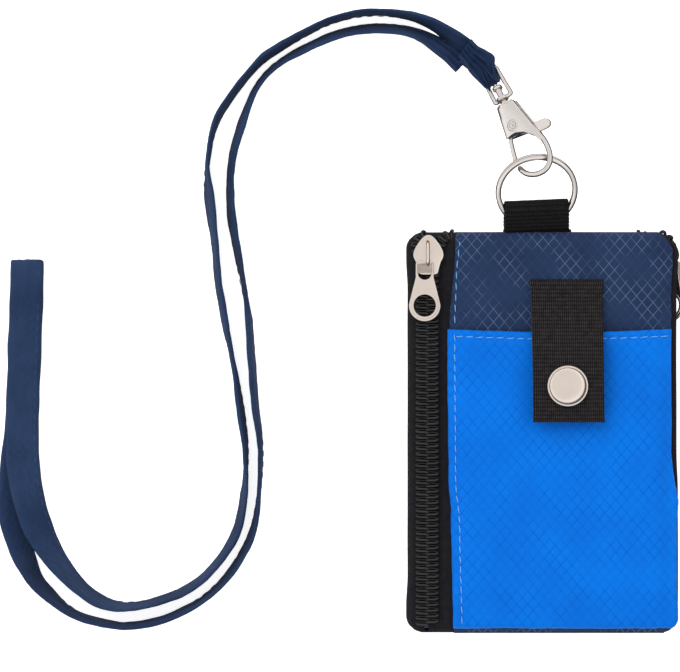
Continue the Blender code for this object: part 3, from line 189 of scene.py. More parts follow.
area_light("softbox left", (-0.75, 1.15, 1.1), (0, 0, 0), 1.4, 14)
area_light("softbox right", (1.3, 0.3, 0.9), (0, 0, 0), 1.2, 4.5)
area_light("softbox front", (-0.9, -1.2, 0.9), (0, 0, 0), 1.3, 6.5)
print("lights: 3")

# %% [markdown]
# ## Finishes
# Every finish here is built from nodes. Effects that several finishes share are node groups: one draws the
# ripstop grid and one the fine plain weave. Each group has named inputs, so the same grid serves the navy
# cloth, the blue pocket and, drawn smaller, the lanyard.

# %% Tools for making finishes


def new_group(name, inputs, outputs):
    tree = bpy.data.node_groups.new(name, "ShaderNodeTree")
    for label, value in inputs:
        socket = tree.interface.new_socket(label, in_out="INPUT", socket_type="NodeSocketFloat")
        socket.default_value = value
    for label, kind in outputs:
        tree.interface.new_socket(label, in_out="OUTPUT", socket_type=kind)
    return tree, tree.nodes.new("NodeGroupInput"), tree.nodes.new("NodeGroupOutput")


def math_node(tree, operation, first, second=None, third=None):
    """One sum; a value may be a number or another node's output."""
    node = tree.nodes.new("ShaderNodeMath")
    node.operation = operation
    for socket, value in zip(node.inputs, (first, second, third)):
        if value is None:
            continue
        if isinstance(value, (int, float)):
            socket.default_value = value
        else:
            tree.links.new(value, socket)
    return node.outputs[0]


def noise_node(tree, vector, scale, detail=2.0, roughness=0.5):
    node = tree.nodes.new("ShaderNodeTexNoise")
    node.inputs["Scale"].default_value = scale
    node.inputs["Detail"].default_value = detail
    node.inputs["Roughness"].default_value = roughness
    tree.links.new(vector, node.inputs["Vector"])
    return node.outputs[0]


def smooth_step(tree, value, low, high):
    node = tree.nodes.new("ShaderNodeMapRange")
    node.interpolation_type = "SMOOTHSTEP"
    node.inputs["From Min"].default_value = low
    node.inputs["From Max"].default_value = high
    tree.links.new(value, node.inputs["Value"])
    return node.outputs[0]


def mix_colour(tree, factor, first, second, blend="MIX"):
    node = tree.nodes.new("ShaderNodeMix")
    node.data_type = "RGBA"
    node.blend_type = blend
    for socket, value in ((node.inputs[0], factor), (node.inputs[6], first), (node.inputs[7], second)):
        if isinstance(value, (int, float)):
            socket.default_value = value
        elif isinstance(value, tuple):
            socket.default_value = (*value, 1)
        else:
            tree.links.new(value, socket)
    return node.outputs[2]


print("tools ready")

# %% [markdown]
# Ripstop is a thin plain weave with a thicker yarn every few millimetres, here laid as diamonds. The map
# coordinates are in millimetres on the cloth. Two slanted distances, folded by a triangle wave, give the
# distance to the nearest thick yarn, and a smooth step turns that into a line.

# %% Ripstop and weave groups


def slanted(tree, x, y, across, along, sign):
    """How far a point is from the nearest yarn of one slant, as a share of the pitch."""
    first = math_node(tree, "DIVIDE", x, across)
    second = math_node(tree, "DIVIDE", y, along)
    place = math_node(tree, "MULTIPLY_ADD", second, sign, first)
    return math_node(tree, "PINGPONG", place, 0.5)


def make_ripstop():
    tree, given, gives = new_group(
        "ripstop grid", (("X", 0.0), ("Y", 0.0), ("Across", 3.3), ("Along", 3.9), ("Width", 0.05)),
        (("Lines", "NodeSocketFloat"), ("Pillow", "NodeSocketFloat")))
    distances = []
    sizes = [given.outputs[label] for label in ("X", "Y", "Across", "Along")]
    for sign in (1, -1):
        distances.append(slanted(tree, *sizes, sign))
    nearest = math_node(tree, "MINIMUM", *distances)
    edge = math_node(tree, "DIVIDE", nearest, given.outputs["Width"])
    line = math_node(tree, "SUBTRACT", 1, smooth_step(tree, edge, 0.35, 1.0))
    tree.links.new(line, gives.inputs["Lines"])
    pillow = math_node(tree, "MULTIPLY", *distances)
    tree.links.new(math_node(tree, "MULTIPLY", pillow, 4), gives.inputs["Pillow"])
    return tree


def make_weave():
    tree, given, gives = new_group(
        "plain weave", (("X", 0.0), ("Y", 0.0), ("Pitch", 0.3)), (("Height", "NodeSocketFloat"),))
    waves = []
    for label in ("X", "Y"):
        turn = math_node(tree, "DIVIDE", given.outputs[label], given.outputs["Pitch"])
        waves.append(math_node(tree, "SINE", math_node(tree, "MULTIPLY", turn, 2 * math.pi)))
    tree.links.new(math_node(tree, "MULTIPLY", *waves), gives.inputs["Height"])
    return tree


RIPSTOP = make_ripstop()
WEAVE = make_weave()
print("groups:", RIPSTOP.name, WEAVE.name)

# %% [markdown]
# The cloth finish puts the groups together. Thick yarns lie a little proud. On the navy cloth and the lanyard
# they are painted paler than the cloth, a painted glint; on the blue they show darker than the cloth; a slow
# noise decides where. The map is the piece's own, so the grid follows the cloth round its edges. A sheen on the
# shader gives the soft bloom of nylon at a low angle.

# %% Cloth finish


def cloth_map(tree):
    """The piece's own map in millimetres, and its two coordinates."""
    source = tree.nodes.new("ShaderNodeUVMap")
    source.uv_map = "cloth"
    split_map = tree.nodes.new("ShaderNodeSeparateXYZ")
    tree.links.new(source.outputs[0], split_map.inputs[0])
    return source.outputs[0], split_map.outputs["X"], split_map.outputs["Y"]


def use_group(tree, group, **values):
    node = tree.nodes.new("ShaderNodeGroup")
    node.node_tree = group
    for label, value in values.items():
        if isinstance(value, (int, float)):
            node.inputs[label].default_value = value
        else:
            tree.links.new(value, node.inputs[label])
    return node.outputs


def finish(name, roughness, metallic=0.0, **sockets):
    """A material with its plain values set on the shader's own sockets."""
    made = bpy.data.materials.new(name)
    made.use_nodes = True
    shader = made.node_tree.nodes["Principled BSDF"]
    shader.inputs["Roughness"].default_value = roughness
    shader.inputs["Metallic"].default_value = metallic
    for label, value in sockets.items():
        shader.inputs[label.replace("_", " ")].default_value = value
    return made, made.node_tree, shader


def raise_surface(tree, shader, height, distance, strength=1.0):
    bump = tree.nodes.new("ShaderNodeBump")
    bump.inputs["Distance"].default_value = distance
    bump.inputs["Strength"].default_value = strength
    tree.links.new(height, bump.inputs["Height"])
    tree.links.new(bump.outputs[0], shader.inputs["Normal"])


def math_colour(tree, value):
    """A number as a grey."""
    node = tree.nodes.new("ShaderNodeCombineColor")
    for socket in node.inputs:
        tree.links.new(value, socket)
    return node.outputs[0]


def cloth(name, body, deep, yarn, show, across=3.3, along=3.9):
    """Ripstop cloth: body and deep are its two tones; yarn is the thick yarns' colour, a paler painted glint on
    the navy.
    """
    made, tree, shader = finish(
        name, 0.62, Sheen_Weight=0.03, Sheen_Roughness=0.4, Specular_IOR_Level=0.09)
    uv, x, y = cloth_map(tree)
    lines, pillow = use_group(tree, RIPSTOP, X=x, Y=y, Across=across, Along=along)[:2]
    weave = use_group(tree, WEAVE, X=x, Y=y)[0]
    slow = noise_node(tree, uv, 0.06, 3)
    # Patches where the thick yarns show: as a paler painted glint on the navy and the lanyard, darker on the
    # blue.
    yarn_patches = smooth_step(tree, noise_node(tree, uv, 0.11, 2), 0.42, 0.62)
    base = mix_colour(tree, smooth_step(tree, slow, 0.3, 0.7), deep, body)
    shown = math_node(tree, "MULTIPLY", lines, math_node(tree, "MULTIPLY_ADD", yarn_patches, show, 0.12))
    colour = mix_colour(tree, shown, base, yarn)
    # The fine weave's height tints the colour a little: small painted highlights on its crossings, painted
    # shade between them.
    fine = math_node(tree, "MULTIPLY_ADD", weave, 0.04, 1.0)
    tinted = mix_colour(tree, 1.0, colour, math_colour(tree, fine), "MULTIPLY")
    tree.links.new(tinted, shader.inputs["Base Color"])
    rough = math_node(tree, "MULTIPLY_ADD", slow, 0.2, 0.5)
    tree.links.new(rough, shader.inputs["Roughness"])
    height = math_node(tree, "MULTIPLY_ADD", lines, 0.5, math_node(tree, "MULTIPLY", pillow, 0.6))
    height = math_node(tree, "MULTIPLY_ADD", weave, 0.12, height)
    raise_surface(tree, shader, height, 0.12 * MM)
    return made


# The third colour is what the thick yarns show: a paler painted glint on the navy and the lanyard, a darker
# blue on the blue.
NAVY = cloth("navy ripstop", (0.018, 0.038, 0.097), (0.013, 0.028, 0.075), (0.110, 0.150, 0.235), 0.9)
BLUE = cloth("royal blue ripstop", (0.000, 0.172, 0.745), (0.000, 0.145, 0.665), (0.000, 0.075, 0.430), 0.5)
STRAP = cloth("lanyard cloth", (0.022, 0.043, 0.104), (0.014, 0.030, 0.078), (0.060, 0.098, 0.175), 0.12,
              2.6, 3.0)
print("cloths:", NAVY.name, BLUE.name, STRAP.name)

# %% [markdown]
# Woven tape and webbing are plain black to a glance, but their yarns catch the light; the finish paints that as
# a pale painted highlight on each yarn's crest. The tape has a fine twill; the webbing's ribs are modelled, and
# its finish adds the slanted yarns on each rib, with the painted highlight strongest on the rib's crest. Nylon
# coils are smooth and a little glossy. Threads are matt, with a painted highlight on the ridges of their twist.
# The nickel is pale and warm, a little uneven in colour and in gloss.

# %% Tape, webbing, nylon, thread, nickel and film


def woven(name, colour, pale, pitch_x, pitch_y, slant, depth, rough=0.75, crests=0.0):
    """Slanted yarns in rows, for tape and webbing; pale is a painted highlight on the yarns' crests, strongest
    on each rib's crest where crests is set.
    """
    made, tree, shader = finish(name, rough, Sheen_Weight=0.02, Specular_IOR_Level=0.12)
    uv, x, y = cloth_map(tree)
    row = math_node(tree, "DIVIDE", y, pitch_y)
    valley = math_node(tree, "PINGPONG", row, 0.5)
    lean = math_node(tree, "MULTIPLY", valley, slant)
    turn = math_node(tree, "ADD", math_node(tree, "DIVIDE", x, pitch_x), lean)
    yarn = math_node(tree, "SINE", math_node(tree, "MULTIPLY", turn, 2 * math.pi))
    high = math_node(tree, "MULTIPLY_ADD", yarn, 0.5, 0.5)
    patch = noise_node(tree, uv, 0.5, 3)
    # The pale colour is a painted highlight on the raised yarns, shown in patches.
    shown = math_node(tree, "MULTIPLY", high, patch)
    # Painted highlight on each rib's crest: with crests set, the pale colour fades away from the row lines.
    crest = math_node(tree, "MULTIPLY_ADD", valley, -2 * crests, 1.0)
    shown = math_node(tree, "MULTIPLY", shown, crest)
    tree.links.new(mix_colour(tree, shown, colour, pale), shader.inputs["Base Color"])
    raise_surface(tree, shader, high, depth * MM)
    return made


def plain(name, colour, other, roughness, scale, grain, **sockets):
    """A smooth finish with a slow change of colour and a fine grain, on the object's own coordinates."""
    made, tree, shader = finish(name, roughness, **sockets)
    source = tree.nodes.new("ShaderNodeTexCoord").outputs["Object"]
    slow = smooth_step(tree, noise_node(tree, source, scale, 3), 0.3, 0.7)
    tree.links.new(mix_colour(tree, slow, colour, other), shader.inputs["Base Color"])
    fine = noise_node(tree, source, grain, 3)
    tree.links.new(math_node(tree, "MULTIPLY_ADD", fine, 0.16, roughness - 0.08), shader.inputs["Roughness"])
    raise_surface(tree, shader, fine, 0.01 * MM, 0.5)
    return made


def thread(name, colour, pale):
    """Twisted thread: fine slanted ridges along each stitch, with pale as a painted highlight on the ridges."""
    made, tree, shader = finish(name, 0.7, Sheen_Weight=0.05, Specular_IOR_Level=0.2)
    source = tree.nodes.new("ShaderNodeTexCoord").outputs["Object"]
    twist = tree.nodes.new("ShaderNodeTexWave")
    twist.bands_direction = "DIAGONAL"
    twist.inputs["Scale"].default_value = 900
    tree.links.new(source, twist.inputs["Vector"])
    # The twist's raised bands are painted pale: a painted highlight.
    tree.links.new(mix_colour(tree, twist.outputs["Fac"], colour, pale), shader.inputs["Base Color"])
    raise_surface(tree, shader, twist.outputs["Fac"], 0.05 * MM)
    return made


# The second colour of tape and webbing is their painted highlight.
TAPE = woven("black zip tape", (0.006, 0.006, 0.008), (0.030, 0.030, 0.034), 0.42, 1.2, 0.9, 0.08)
WEBBING = woven("black webbing", (0.004, 0.0035, 0.004), (0.088, 0.076, 0.076), 0.62, 1.2, 0.7, 0.16,
                crests=1.0)
NYLON = plain("black nylon coil", (0.006, 0.006, 0.007), (0.014, 0.014, 0.015), 0.30, 300, 4000,
              Specular_IOR_Level=0.6)
BLUE_THREAD = thread("pale blue thread", (0.085, 0.290, 0.640), (0.220, 0.460, 0.800))
NAVY_THREAD = thread("navy thread", (0.030, 0.060, 0.140), (0.050, 0.090, 0.190))
NICKEL = plain("bright nickel", (0.90, 0.845, 0.80), (0.85, 0.79, 0.745), 0.17, 90, 6000, metallic=1.0)
WARM_NICKEL = plain("warm nickel", (0.96, 0.84, 0.745), (0.90, 0.78, 0.685), 0.24, 90, 6000, metallic=1.0)
LINING = plain("grey lining", (0.150, 0.165, 0.225), (0.110, 0.122, 0.175), 0.85, 60, 5000, Sheen_Weight=0.2)
FILM = plain("clear film", (0.56, 0.57, 0.64), (0.50, 0.51, 0.58), 0.22, 40, 900, Alpha=0.42, Coat_Weight=0.4)
print("finishes:", len(bpy.data.materials))

# %% [markdown]
# ## Tools for shapes
# Most soft pieces here are strips: a flat grid whose points are then laid on a surface, with a map in
# millimetres kept beside them. The function `strip` makes the grid and calls a function for each point. A
# Solidify modifier gives it a wall. Every piece is finished by `place_piece`, which names it, gives it its
# finish and hangs it on its body.

# %% Tools for shapes


def place_piece(name, form, look, body, replaces=(), smooth_deg=40):
    """The form as a piece of the model, shaded smooth but for its sharp edges."""
    mesh = bpy.data.meshes.new(name)
    form.to_mesh(mesh)
    form.free()
    mesh.materials.append(look)
    mesh.shade_smooth()
    if smooth_deg:
        mesh.set_sharp_from_angle(angle=math.radians(smooth_deg))
    piece = bpy.data.objects.new(name, mesh)
    bpy.context.scene.collection.objects.link(piece)
    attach(piece, body)
    if replaces:
        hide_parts(*replaces)
    print(name, len(mesh.polygons), "faces")
    return piece


def strip(columns, rows, lay, closed=False):
    """A grid laid on a surface: lay(u, v), from 0 to 1 each way, gives the place and its map coordinates."""
    form = bmesh.new()
    bmesh.ops.create_grid(form, x_segments=columns, y_segments=rows, size=0.5)
    cloth_layer = form.loops.layers.uv.new("cloth")
    maps = {}
    for vertex in form.verts:
        place, map_place = lay(vertex.co.x + 0.5, vertex.co.y + 0.5)
        maps[vertex] = map_place
        vertex.co = place
    for face in form.faces:
        for corner in face.loops:
            corner[cloth_layer].uv = maps[corner.vert]
    if closed:
        bmesh.ops.remove_doubles(form, verts=form.verts, dist=0.001 * MM)
        bmesh.ops.holes_fill(form, edges=form.edges)
        bmesh.ops.recalc_face_normals(form, faces=form.faces)
    return form


def wall(piece, thickness, offset=-1.0, rim=0.0):
    """Gives a strip its thickness, and rounds its rim."""
    solid = piece.modifiers.new("wall", "SOLIDIFY")
    solid.thickness = thickness * MM
    solid.offset = offset
    if rim:
        soft = piece.modifiers.new("rim", "BEVEL")
        soft.width = rim * MM
        soft.segments = 2
        soft.limit_method = "ANGLE"
        soft.angle_limit = math.radians(60)
    return piece


def smooth_points(points, steps):
    """Points of a smooth curve through the given ones."""
    given = [Vector(p) for p in points]
    out = []
    for i in range(len(given) - 1):
        b, c = given[i], given[i + 1]
        a = given[i - 1] if i else 2 * b - c
        d = given[i + 2] if i + 2 < len(given) else 2 * c - b
        for k in range(steps):
            t = k / steps
            out.append(0.5 * (2 * b + (c - a) * t + (2 * a - 5 * b + 4 * c - d) * t ** 2
                              + (3 * b - a - 3 * c + d) * t ** 3))
    out.append(given[-1])
    return out


def reach_along(line, unit=1.0):
    """How far along a line each of its points lies, in the given unit."""
    reach = [0.0]
    for here, ahead in zip(line, line[1:]):
        reach.append(reach[-1] + (ahead - here).length / unit)
    return reach


def pick(places, share):
    """The nearest of some evenly numbered places, at a share from 0 to 1."""
    return places[round(share * (len(places) - 1))]


def ease(value):
    """A smooth step from 0 to 1."""
    t = min(1.0, max(0.0, value))
    return t * t * (3 - 2 * t)


def rough_noise(x, y, scale_x, scale_y, seed):
    """A smooth random height from -1 to 1; places are in millimetres."""
    return noise.noise(Vector((x / scale_x, y / scale_y, seed * 7.3)))


print("shape tools ready")

# %% [markdown]
# ## The lanyard
# The lanyard is one strip of cloth, folded flat and sewn, 10 mm wide and 793 mm long. Its route repeats that
# of the solid, which was read off the photograph point by point: out of the clasp's eye, round the arc on
# edge, down to the neck end, where it folds over itself, and back beside the first run. Each point has a
# roll, the tilt of the strip's width from level, because most of the strip stands on its edge. A few soft
# dents and a wavy edge keep it from looking like a drawn band.

# %% Lanyard route
PICTURE_SCALE = 0.3015 * MM
PICTURE_ZERO = (542, 432)
STRAP_WIDTH = 10 * MM
STRAP_THICKNESS = 1.2 * MM
EYE_START = 8.4 * MM
EYE_LENGTH = 11.4 * MM
EYE_WIRE = 1.3 * MM
EYE_HALF_WIDTH = 3.3 * MM
EYE_RIBBON_SHARE = 0.34
ROUTE_TO_NECK = (
    ((474, 60), 165, 0.12), ((452, 38), 120, 0.1), ((425, 21), 102, 0.02), ((394, 14), 98, 0),
    ((360, 14), 98, 0), ((326, 23), 98, 0), ((292, 41), 98, 0), ((262, 60), 98, 0), ((237, 89), 98, 0),
    ((216, 123), 96, 0), ((208, 160), 90, 0), ((209, 194), 75, 0), ((214, 232), 80, 0),
    ((220, 290), 82, 0), ((226, 328), 84, 0), ((233, 360), 90, 0), ((240, 402), 98, 0),
    ((245, 440), 97, 0), ((246, 468), 92, 0), ((244, 496), 82, 0), ((237, 530), 80, 0),
    ((223, 556), 80, 0), ((199, 581), 80, 0), ((166, 598), 80, 0), ((133, 606), 78, 0),
    ((104, 602), 72, 0.02), ((78, 584), 62, 0.1), ((55, 556), 46, 0.22), ((36, 520), 26, 0.34),
    ((25, 474), 8, 0.38), ((23, 420), 2, 0.37), ((25, 350), 0, 0.37), ((27, 290), 0, 0.37))
ROUTE_FOLD = (((27.5, 268), None, 0.3), ((27.6, 261), None, 0.16), ((27.5, 269), None, 0.03))
ROUTE_FROM_NECK = (
    ((27, 292), 180, 0), ((25, 350), 180, 0), ((22, 420), 178, 0), ((16, 474), 170, 0),
    ((15, 522), 150, 0), ((32, 573), 122, 0), ((55, 599), 108, 0), ((80, 616), 100, 0),
    ((116, 625), 97, 0), ((133, 625), 97, 0), ((166, 618), 97, 0), ((199, 602), 98, 0),
    ((225, 579), 98, 0), ((243, 553), 100, 0), ((254, 528), 98, 0), ((259, 496), 92, 0),
    ((260.5, 468), 86, 0), ((260, 440), 84, 0), ((255, 402), 84, 0), ((252, 360), 82, 0),
    ((248, 314), 88, 0), ((243, 280), 97, 0), ((236, 242), 99, 0), ((231.5, 209), 100, 0),
    ((231, 175), 100, 0), ((236, 144), 99, 0), ((246, 113), 98, 0), ((258, 86), 98, 0),
    ((276, 66), 98, 0), ((298, 53), 100, 0), ((330, 38), 104, 0), ((362, 30), 106, 0),
    ((396, 30), 108, 0), ((424, 38), 115, 0.02), ((446, 52), 140, 0.14), ((462, 66), 160, 0.3))
EYE_LOOP_SHARES = (
    (0.12, 0.37), (-0.05, 0.34), (-0.21, 0.2), (-0.27, 0.0), (-0.21, -0.2), (-0.05, -0.34), (0.12, -0.37))
START_POINT = ((463, 56), 20, 0.62)
END_WIDTH_SHARES = (0.62, 0.72, 0.9)


def from_picture(px, py, height):
    """A place in the scene from a place in the picture, in pixels, and a height in metres."""
    x = (px - PICTURE_ZERO[0]) * PICTURE_SCALE
    y = (PICTURE_ZERO[1] - py) * PICTURE_SCALE
    return HOME + Vector((x, y, height))


def route_place(entry):
    """A picture place as a place in the scene: the strip rests on its lower edge, or hangs above it."""
    (px, py), roll, lift = entry
    tilt = math.radians(roll or 0)
    half = (abs(math.sin(tilt)) * STRAP_WIDTH + abs(math.cos(tilt)) * STRAP_THICKNESS) / 2
    height = half + STRAP_THICKNESS / 20 + lift * STRAP_WIDTH
    return from_picture(px, py, height)


def lanyard_route():
    """Places, width directions and widths along the whole strip, in short steps."""
    bar = EYE_START + EYE_LENGTH - EYE_WIRE / 2
    across = SNAP.to_3x3().col[0]
    points, rolls, widths = [route_place(START_POINT)], [START_POINT[1]], [STRAP_WIDTH * END_WIDTH_SHARES[0]]
    for along, rise in EYE_LOOP_SHARES:
        points.append(SNAP @ Vector((0, bar + along * EYE_LENGTH, rise * EYE_HALF_WIDTH * 2)))
        rolls.append(across)
        widths.append(STRAP_WIDTH * (EYE_RIBBON_SHARE + 0.6 * max(0.0, along)))
    for i, entry in enumerate(ROUTE_TO_NECK + ROUTE_FOLD + ROUTE_FROM_NECK):
        points.append(route_place(entry))
        rolls.append(entry[1])
        widths.append(STRAP_WIDTH * (END_WIDTH_SHARES[i + 1] if i < len(END_WIDTH_SHARES) - 1 else 1))
    widths[-2:] = [STRAP_WIDTH * share for share in reversed(END_WIDTH_SHARES[:2])]
    ways = []
    for i, roll in enumerate(rolls):
        if isinstance(roll, (int, float)):
            ahead = points[min(i + 1, len(points) - 1)] - points[max(i - 1, 0)]
            level = Vector((-ahead.y, ahead.x, 0)).normalized()
            roll = level * math.cos(math.radians(roll)) + Vector((0, 0, math.sin(math.radians(roll))))
        ways.append(roll)
    known = [i for i, way in enumerate(ways) if way is not None]
    for i, way in enumerate(ways):
        if way is None:
            low, high = max(k for k in known if k < i), min(k for k in known if k > i)
            ways[i] = ways[low].lerp(ways[high], (i - low) / (high - low))
    steps = 24
    spans = smooth_points([(width, 0, 0) for width in widths], steps)
    return smooth_points(points, steps), smooth_points(ways, steps), [span.x for span in spans]


centres, ways, spans = lanyard_route()
travelled = reach_along(centres)
STRAP_LENGTH = travelled[-1]
print("lanyard:", round(STRAP_LENGTH / MM, 1), "mm")

# %% [markdown]
# A frame travels along the route: its first axis is the strip's width, its second the way out of its face.
# The strip is a grid rolled into a closed flat tube round that frame, and the rows of stitches use the same
# function, so they stay on the cloth wherever it twists.

# %% Lanyard strip


def strap_frame(distance):
    """Centre, width direction, face direction and width at a distance along the strip."""
    distance = min(max(distance, 0.0), STRAP_LENGTH)
    low, high = 0, len(travelled) - 1
    while high - low > 1:
        middle = (low + high) // 2
        if travelled[middle] <= distance:
            low = middle
        else:
            high = middle
    share = (distance - travelled[low]) / (travelled[high] - travelled[low])
    travel = (centres[min(high + 2, len(centres) - 1)] - centres[max(low - 2, 0)]).normalized()
    way = ways[low].lerp(ways[high], share)
    way = (way - travel * way.dot(travel)).normalized()
    width = spans[low] * (1 - share) + spans[high] * share
    return centres[low].lerp(centres[high], share), way, travel.cross(way), width


def strap_dent(along, across):
    """Soft dents of the face, in millimetres; places are millimetres along and across the strip."""
    swell = 0.3 * rough_noise(along, across, 12, 5, 1)
    swell += 0.22 * rough_noise(along, across, 5, 1.7, 2)
    return swell + 0.07 * rough_noise(along, across, 1.6, 0.9, 6)


def flat_section(u):
    """A flat section with round edges: u from 0 to 0.5 is the top face, the rest the bottom face."""
    across = 1 - 4 * u if u <= 0.5 else 4 * u - 3
    high = math.sqrt(max(0.0, 1 - abs(across) ** 5))
    return across, high if u <= 0.5 else -high


def lay_strap(u, v):
    """u runs round the strip's section and v along it."""
    distance = v * STRAP_LENGTH
    centre, way, out, width = strap_frame(distance)
    across, face = flat_section(u)
    along = distance / MM
    gather = max(0.0, 1 - width / STRAP_WIDTH)
    on_edge = abs(way.z)
    edge = width / 2 * (1 + 0.05 * rough_noise(along, across * 30, 8, 10, 3))
    puff = 1 + on_edge * (0.2 + 0.5 * rough_noise(along, 0, 17, 1, 5)) + 1.2 * gather
    sewn = ease(1 - min(distance, STRAP_LENGTH - distance) / (32 * MM))
    pleat = (0.7 * gather + 0.3 * sewn) * math.cos(9.4 * across + 0.05 * along)
    bend = (face * STRAP_THICKNESS / 2 * puff + (pleat + strap_dent(along, across * 5)) * MM)
    return centre + way * across * edge + out * bend, (across * 5, along)


strap_form = strip(40, 1150, lay_strap, closed=True)
lanyard = place_piece("lanyard_cloth", strap_form, STRAP, "lanyard", ["lanyard_strap"], 0)

# %% [markdown]
# At the clasp the strip is gathered into a pleated, pointed end, which is sewn across where the two runs meet
# and hangs over the eye's bar. It is laid between two edges read off the photograph, each with its height.

# %% Gathered end
END_LEFT = ((458, 58, 9.4), (464.8, 66.2, 9.6), (468.5, 72.6, 9.3), (473.2, 78.0, 8.9), (477.6, 82.2, 8.5),
            (481.6, 86.2, 8.1), (484.4, 88.9, 7.9), (487.2, 89.9, 7.8))
END_RIGHT = ((471, 40, 10.2), (476.6, 46.6, 10.4), (486.0, 51.6, 9.9), (493.8, 57.2, 9.3), (494.3, 65.5, 8.8),
             (495.0, 74.5, 8.5), (493.6, 81.5, 8.3), (490.0, 89.3, 8.0))
end_left = smooth_points(END_LEFT, 10)
end_right = smooth_points(END_RIGHT, 10)


def lay_end(u, v):
    """u runs round the section, from the right edge over the top, and v from the seam to the point."""
    low, high = pick(end_left, v), pick(end_right, v)
    across, face = flat_section(u)
    spot = low.lerp(high, 0.5 + across / 2)
    wide = (high - low).length * PICTURE_SCALE / MM
    fold = across * 2.6 + 0.35 * noise.noise(Vector((across * 2, v * 3, 4)))
    pleat = 0.55 * (1 - 2 * abs(math.sin(math.pi * fold)) ** 0.7) * ease(wide / 4)
    pleat += 0.16 * math.cos(17 * across + 3 * v) * ease(wide / 3)
    tack = math.exp(-((v - 0.142) / 0.022) ** 2)
    deep = 1.5 * ease((0.55 - v) / 0.3)
    rise = (0.62 + 0.3 * (1 - across * across)) * face if face > 0 else (0.5 + deep) * face
    if face > 0:
        rise += pleat * face * (1 - 0.7 * tack) - 0.25 * tack * face
    spot.z += rise
    return from_picture(spot.x, spot.y, spot.z * MM), (across * wide / 2, v * 16)


end_form = strip(160, 70, lay_end, closed=True)
place_piece("lanyard_end", end_form, STRAP, "lanyard", (), 0)

# %% [markdown]
# The lanyard leaves the object at the clasp's eye, and its far end comes back there.

print("lanyard made")

# %% [markdown]
# ## The wallet's cloth
# Seen from the end, the wallet's section is a rounded lozenge: the back lies flat, the front rises to a
# ridge and falls to the zip on the left. One function walks round that section and gives the outline at any
# height along the wallet; the two ends are pinched flat where they are sewn. The cloth and the tapes are
# strips laid on this one surface, and what lies on top is a little further out. Only the two sheets of the
# window are laid flat.

# %% Section of the wallet
HALF_HEIGHT = 60.0
END_STRAIGHT = 55.0
SEAM_MIDDLE = 5.0
CORNER_START = 36.0
TOP_CORNER_START = 34.0
OUTLINE_STEPS = 4000
SECTION = ((-41.0, 1.1, 2.2), (28.6, 1.1, 6.0), (42.5, 11.3, 0.7), (-28.2, 11.3, 15.0), (-41.0, 8.58, 2.5))


def corner_arc(before, corner, after, radius, pieces):
    """Points of the rounded corner between two straight runs."""
    here = Vector(corner)
    back, ahead = (Vector(before) - here).normalized(), (Vector(after) - here).normalized()
    half = back.angle(ahead) / 2
    reach = radius / math.tan(half)
    middle = here + (back + ahead).normalized() * (radius / math.sin(half))
    first, last = here + back * reach, here + ahead * reach
    start, finish_at = (first - middle).normalized(), (last - middle).normalized()
    return [middle + start.slerp(finish_at, i / pieces) * radius for i in range(pieces + 1)]


def section_line():
    corners = [(x, z) for x, z, radius in SECTION]
    out = []
    for i, (x, z, radius) in enumerate(SECTION):
        out += corner_arc(corners[i - 1], (x, z), corners[(i + 1) % len(corners)], radius, 10)
    return out + [out[0]]


SECTION_LINE = section_line()
SECTION_REACH = reach_along(SECTION_LINE)


def section_point(reach):
    """Place and outward direction on the section at a distance along its outline."""
    reach = reach % SECTION_REACH[-1]
    i = max(k for k, value in enumerate(SECTION_REACH) if value <= reach)
    i = min(i, len(SECTION_LINE) - 2)
    share = (reach - SECTION_REACH[i]) / max(1e-9, SECTION_REACH[i + 1] - SECTION_REACH[i])
    travel = (SECTION_LINE[i + 1] - SECTION_LINE[i])
    if travel.length < 1e-9:
        travel = SECTION_LINE[i + 1] - SECTION_LINE[i - 1]
    travel.normalize()
    return SECTION_LINE[i].lerp(SECTION_LINE[i + 1], share), Vector((travel.y, -travel.x))


def reach_at(x, front):
    """The distance along the outline at which it passes x, on the front or on the back."""
    best, found = 1e9, 0.0
    for i in range(OUTLINE_STEPS):
        reach = SECTION_REACH[-1] * i / OUTLINE_STEPS
        place, out = section_point(reach)
        faces = out.y > 0.3 if front else out.y < -0.82
        if faces and abs(place.x - x) < best:
            best, found = abs(place.x - x), reach
    return found


def on_wallet(reach, y, lift):
    """A place in the scene: along the outline, up the wallet and off its surface, in millimetres."""
    place, out = section_point(reach)
    place = place + out * lift
    over = abs(y) - END_STRAIGHT
    x, z = place.x, place.y
    if over > 0:
        share = min(0.985, over / (HALF_HEIGHT - END_STRAIGHT + 0.1))
        z = SEAM_MIDDLE + (z - SEAM_MIDDLE) * (1 - share ** 4) ** 0.25
        if x > TOP_CORNER_START and y > 0:
            x = TOP_CORNER_START + (x - TOP_CORNER_START) * math.sqrt(1 - share)
        elif abs(x) > CORNER_START:
            x = math.copysign(CORNER_START + (abs(x) - CORNER_START) * math.sqrt(1 - share * share), x)
    middle = ease((52 - abs(y)) / 9)
    if x < 0:
        x += 0.42 * ease((-35 - x) / 5) * middle
    else:
        waist = ease((y + 18) / 12) * ease((50 - y) / 8)
        x -= ease((x - 35) / 5) * (0.45 + 0.45 * waist)
    return at(x, y, z)


print("outline of the section:", round(SECTION_REACH[-1], 1), "mm")

# %% [markdown]
# Real cloth is never quite flat. `slack` gives each piece slow swells and a few finer creases; `rolled`
# turns the last millimetre or so of an edge down, as a folded hem does; `groove` sinks the cloth where a row
# of stitches pulls it in, and `pucker` lifts it between the stitches. `spaced` chooses where the rows of the
# grid go: close together at edges and seams, where the cloth bends sharply, and wider between.

# %% Swells, hems and seams


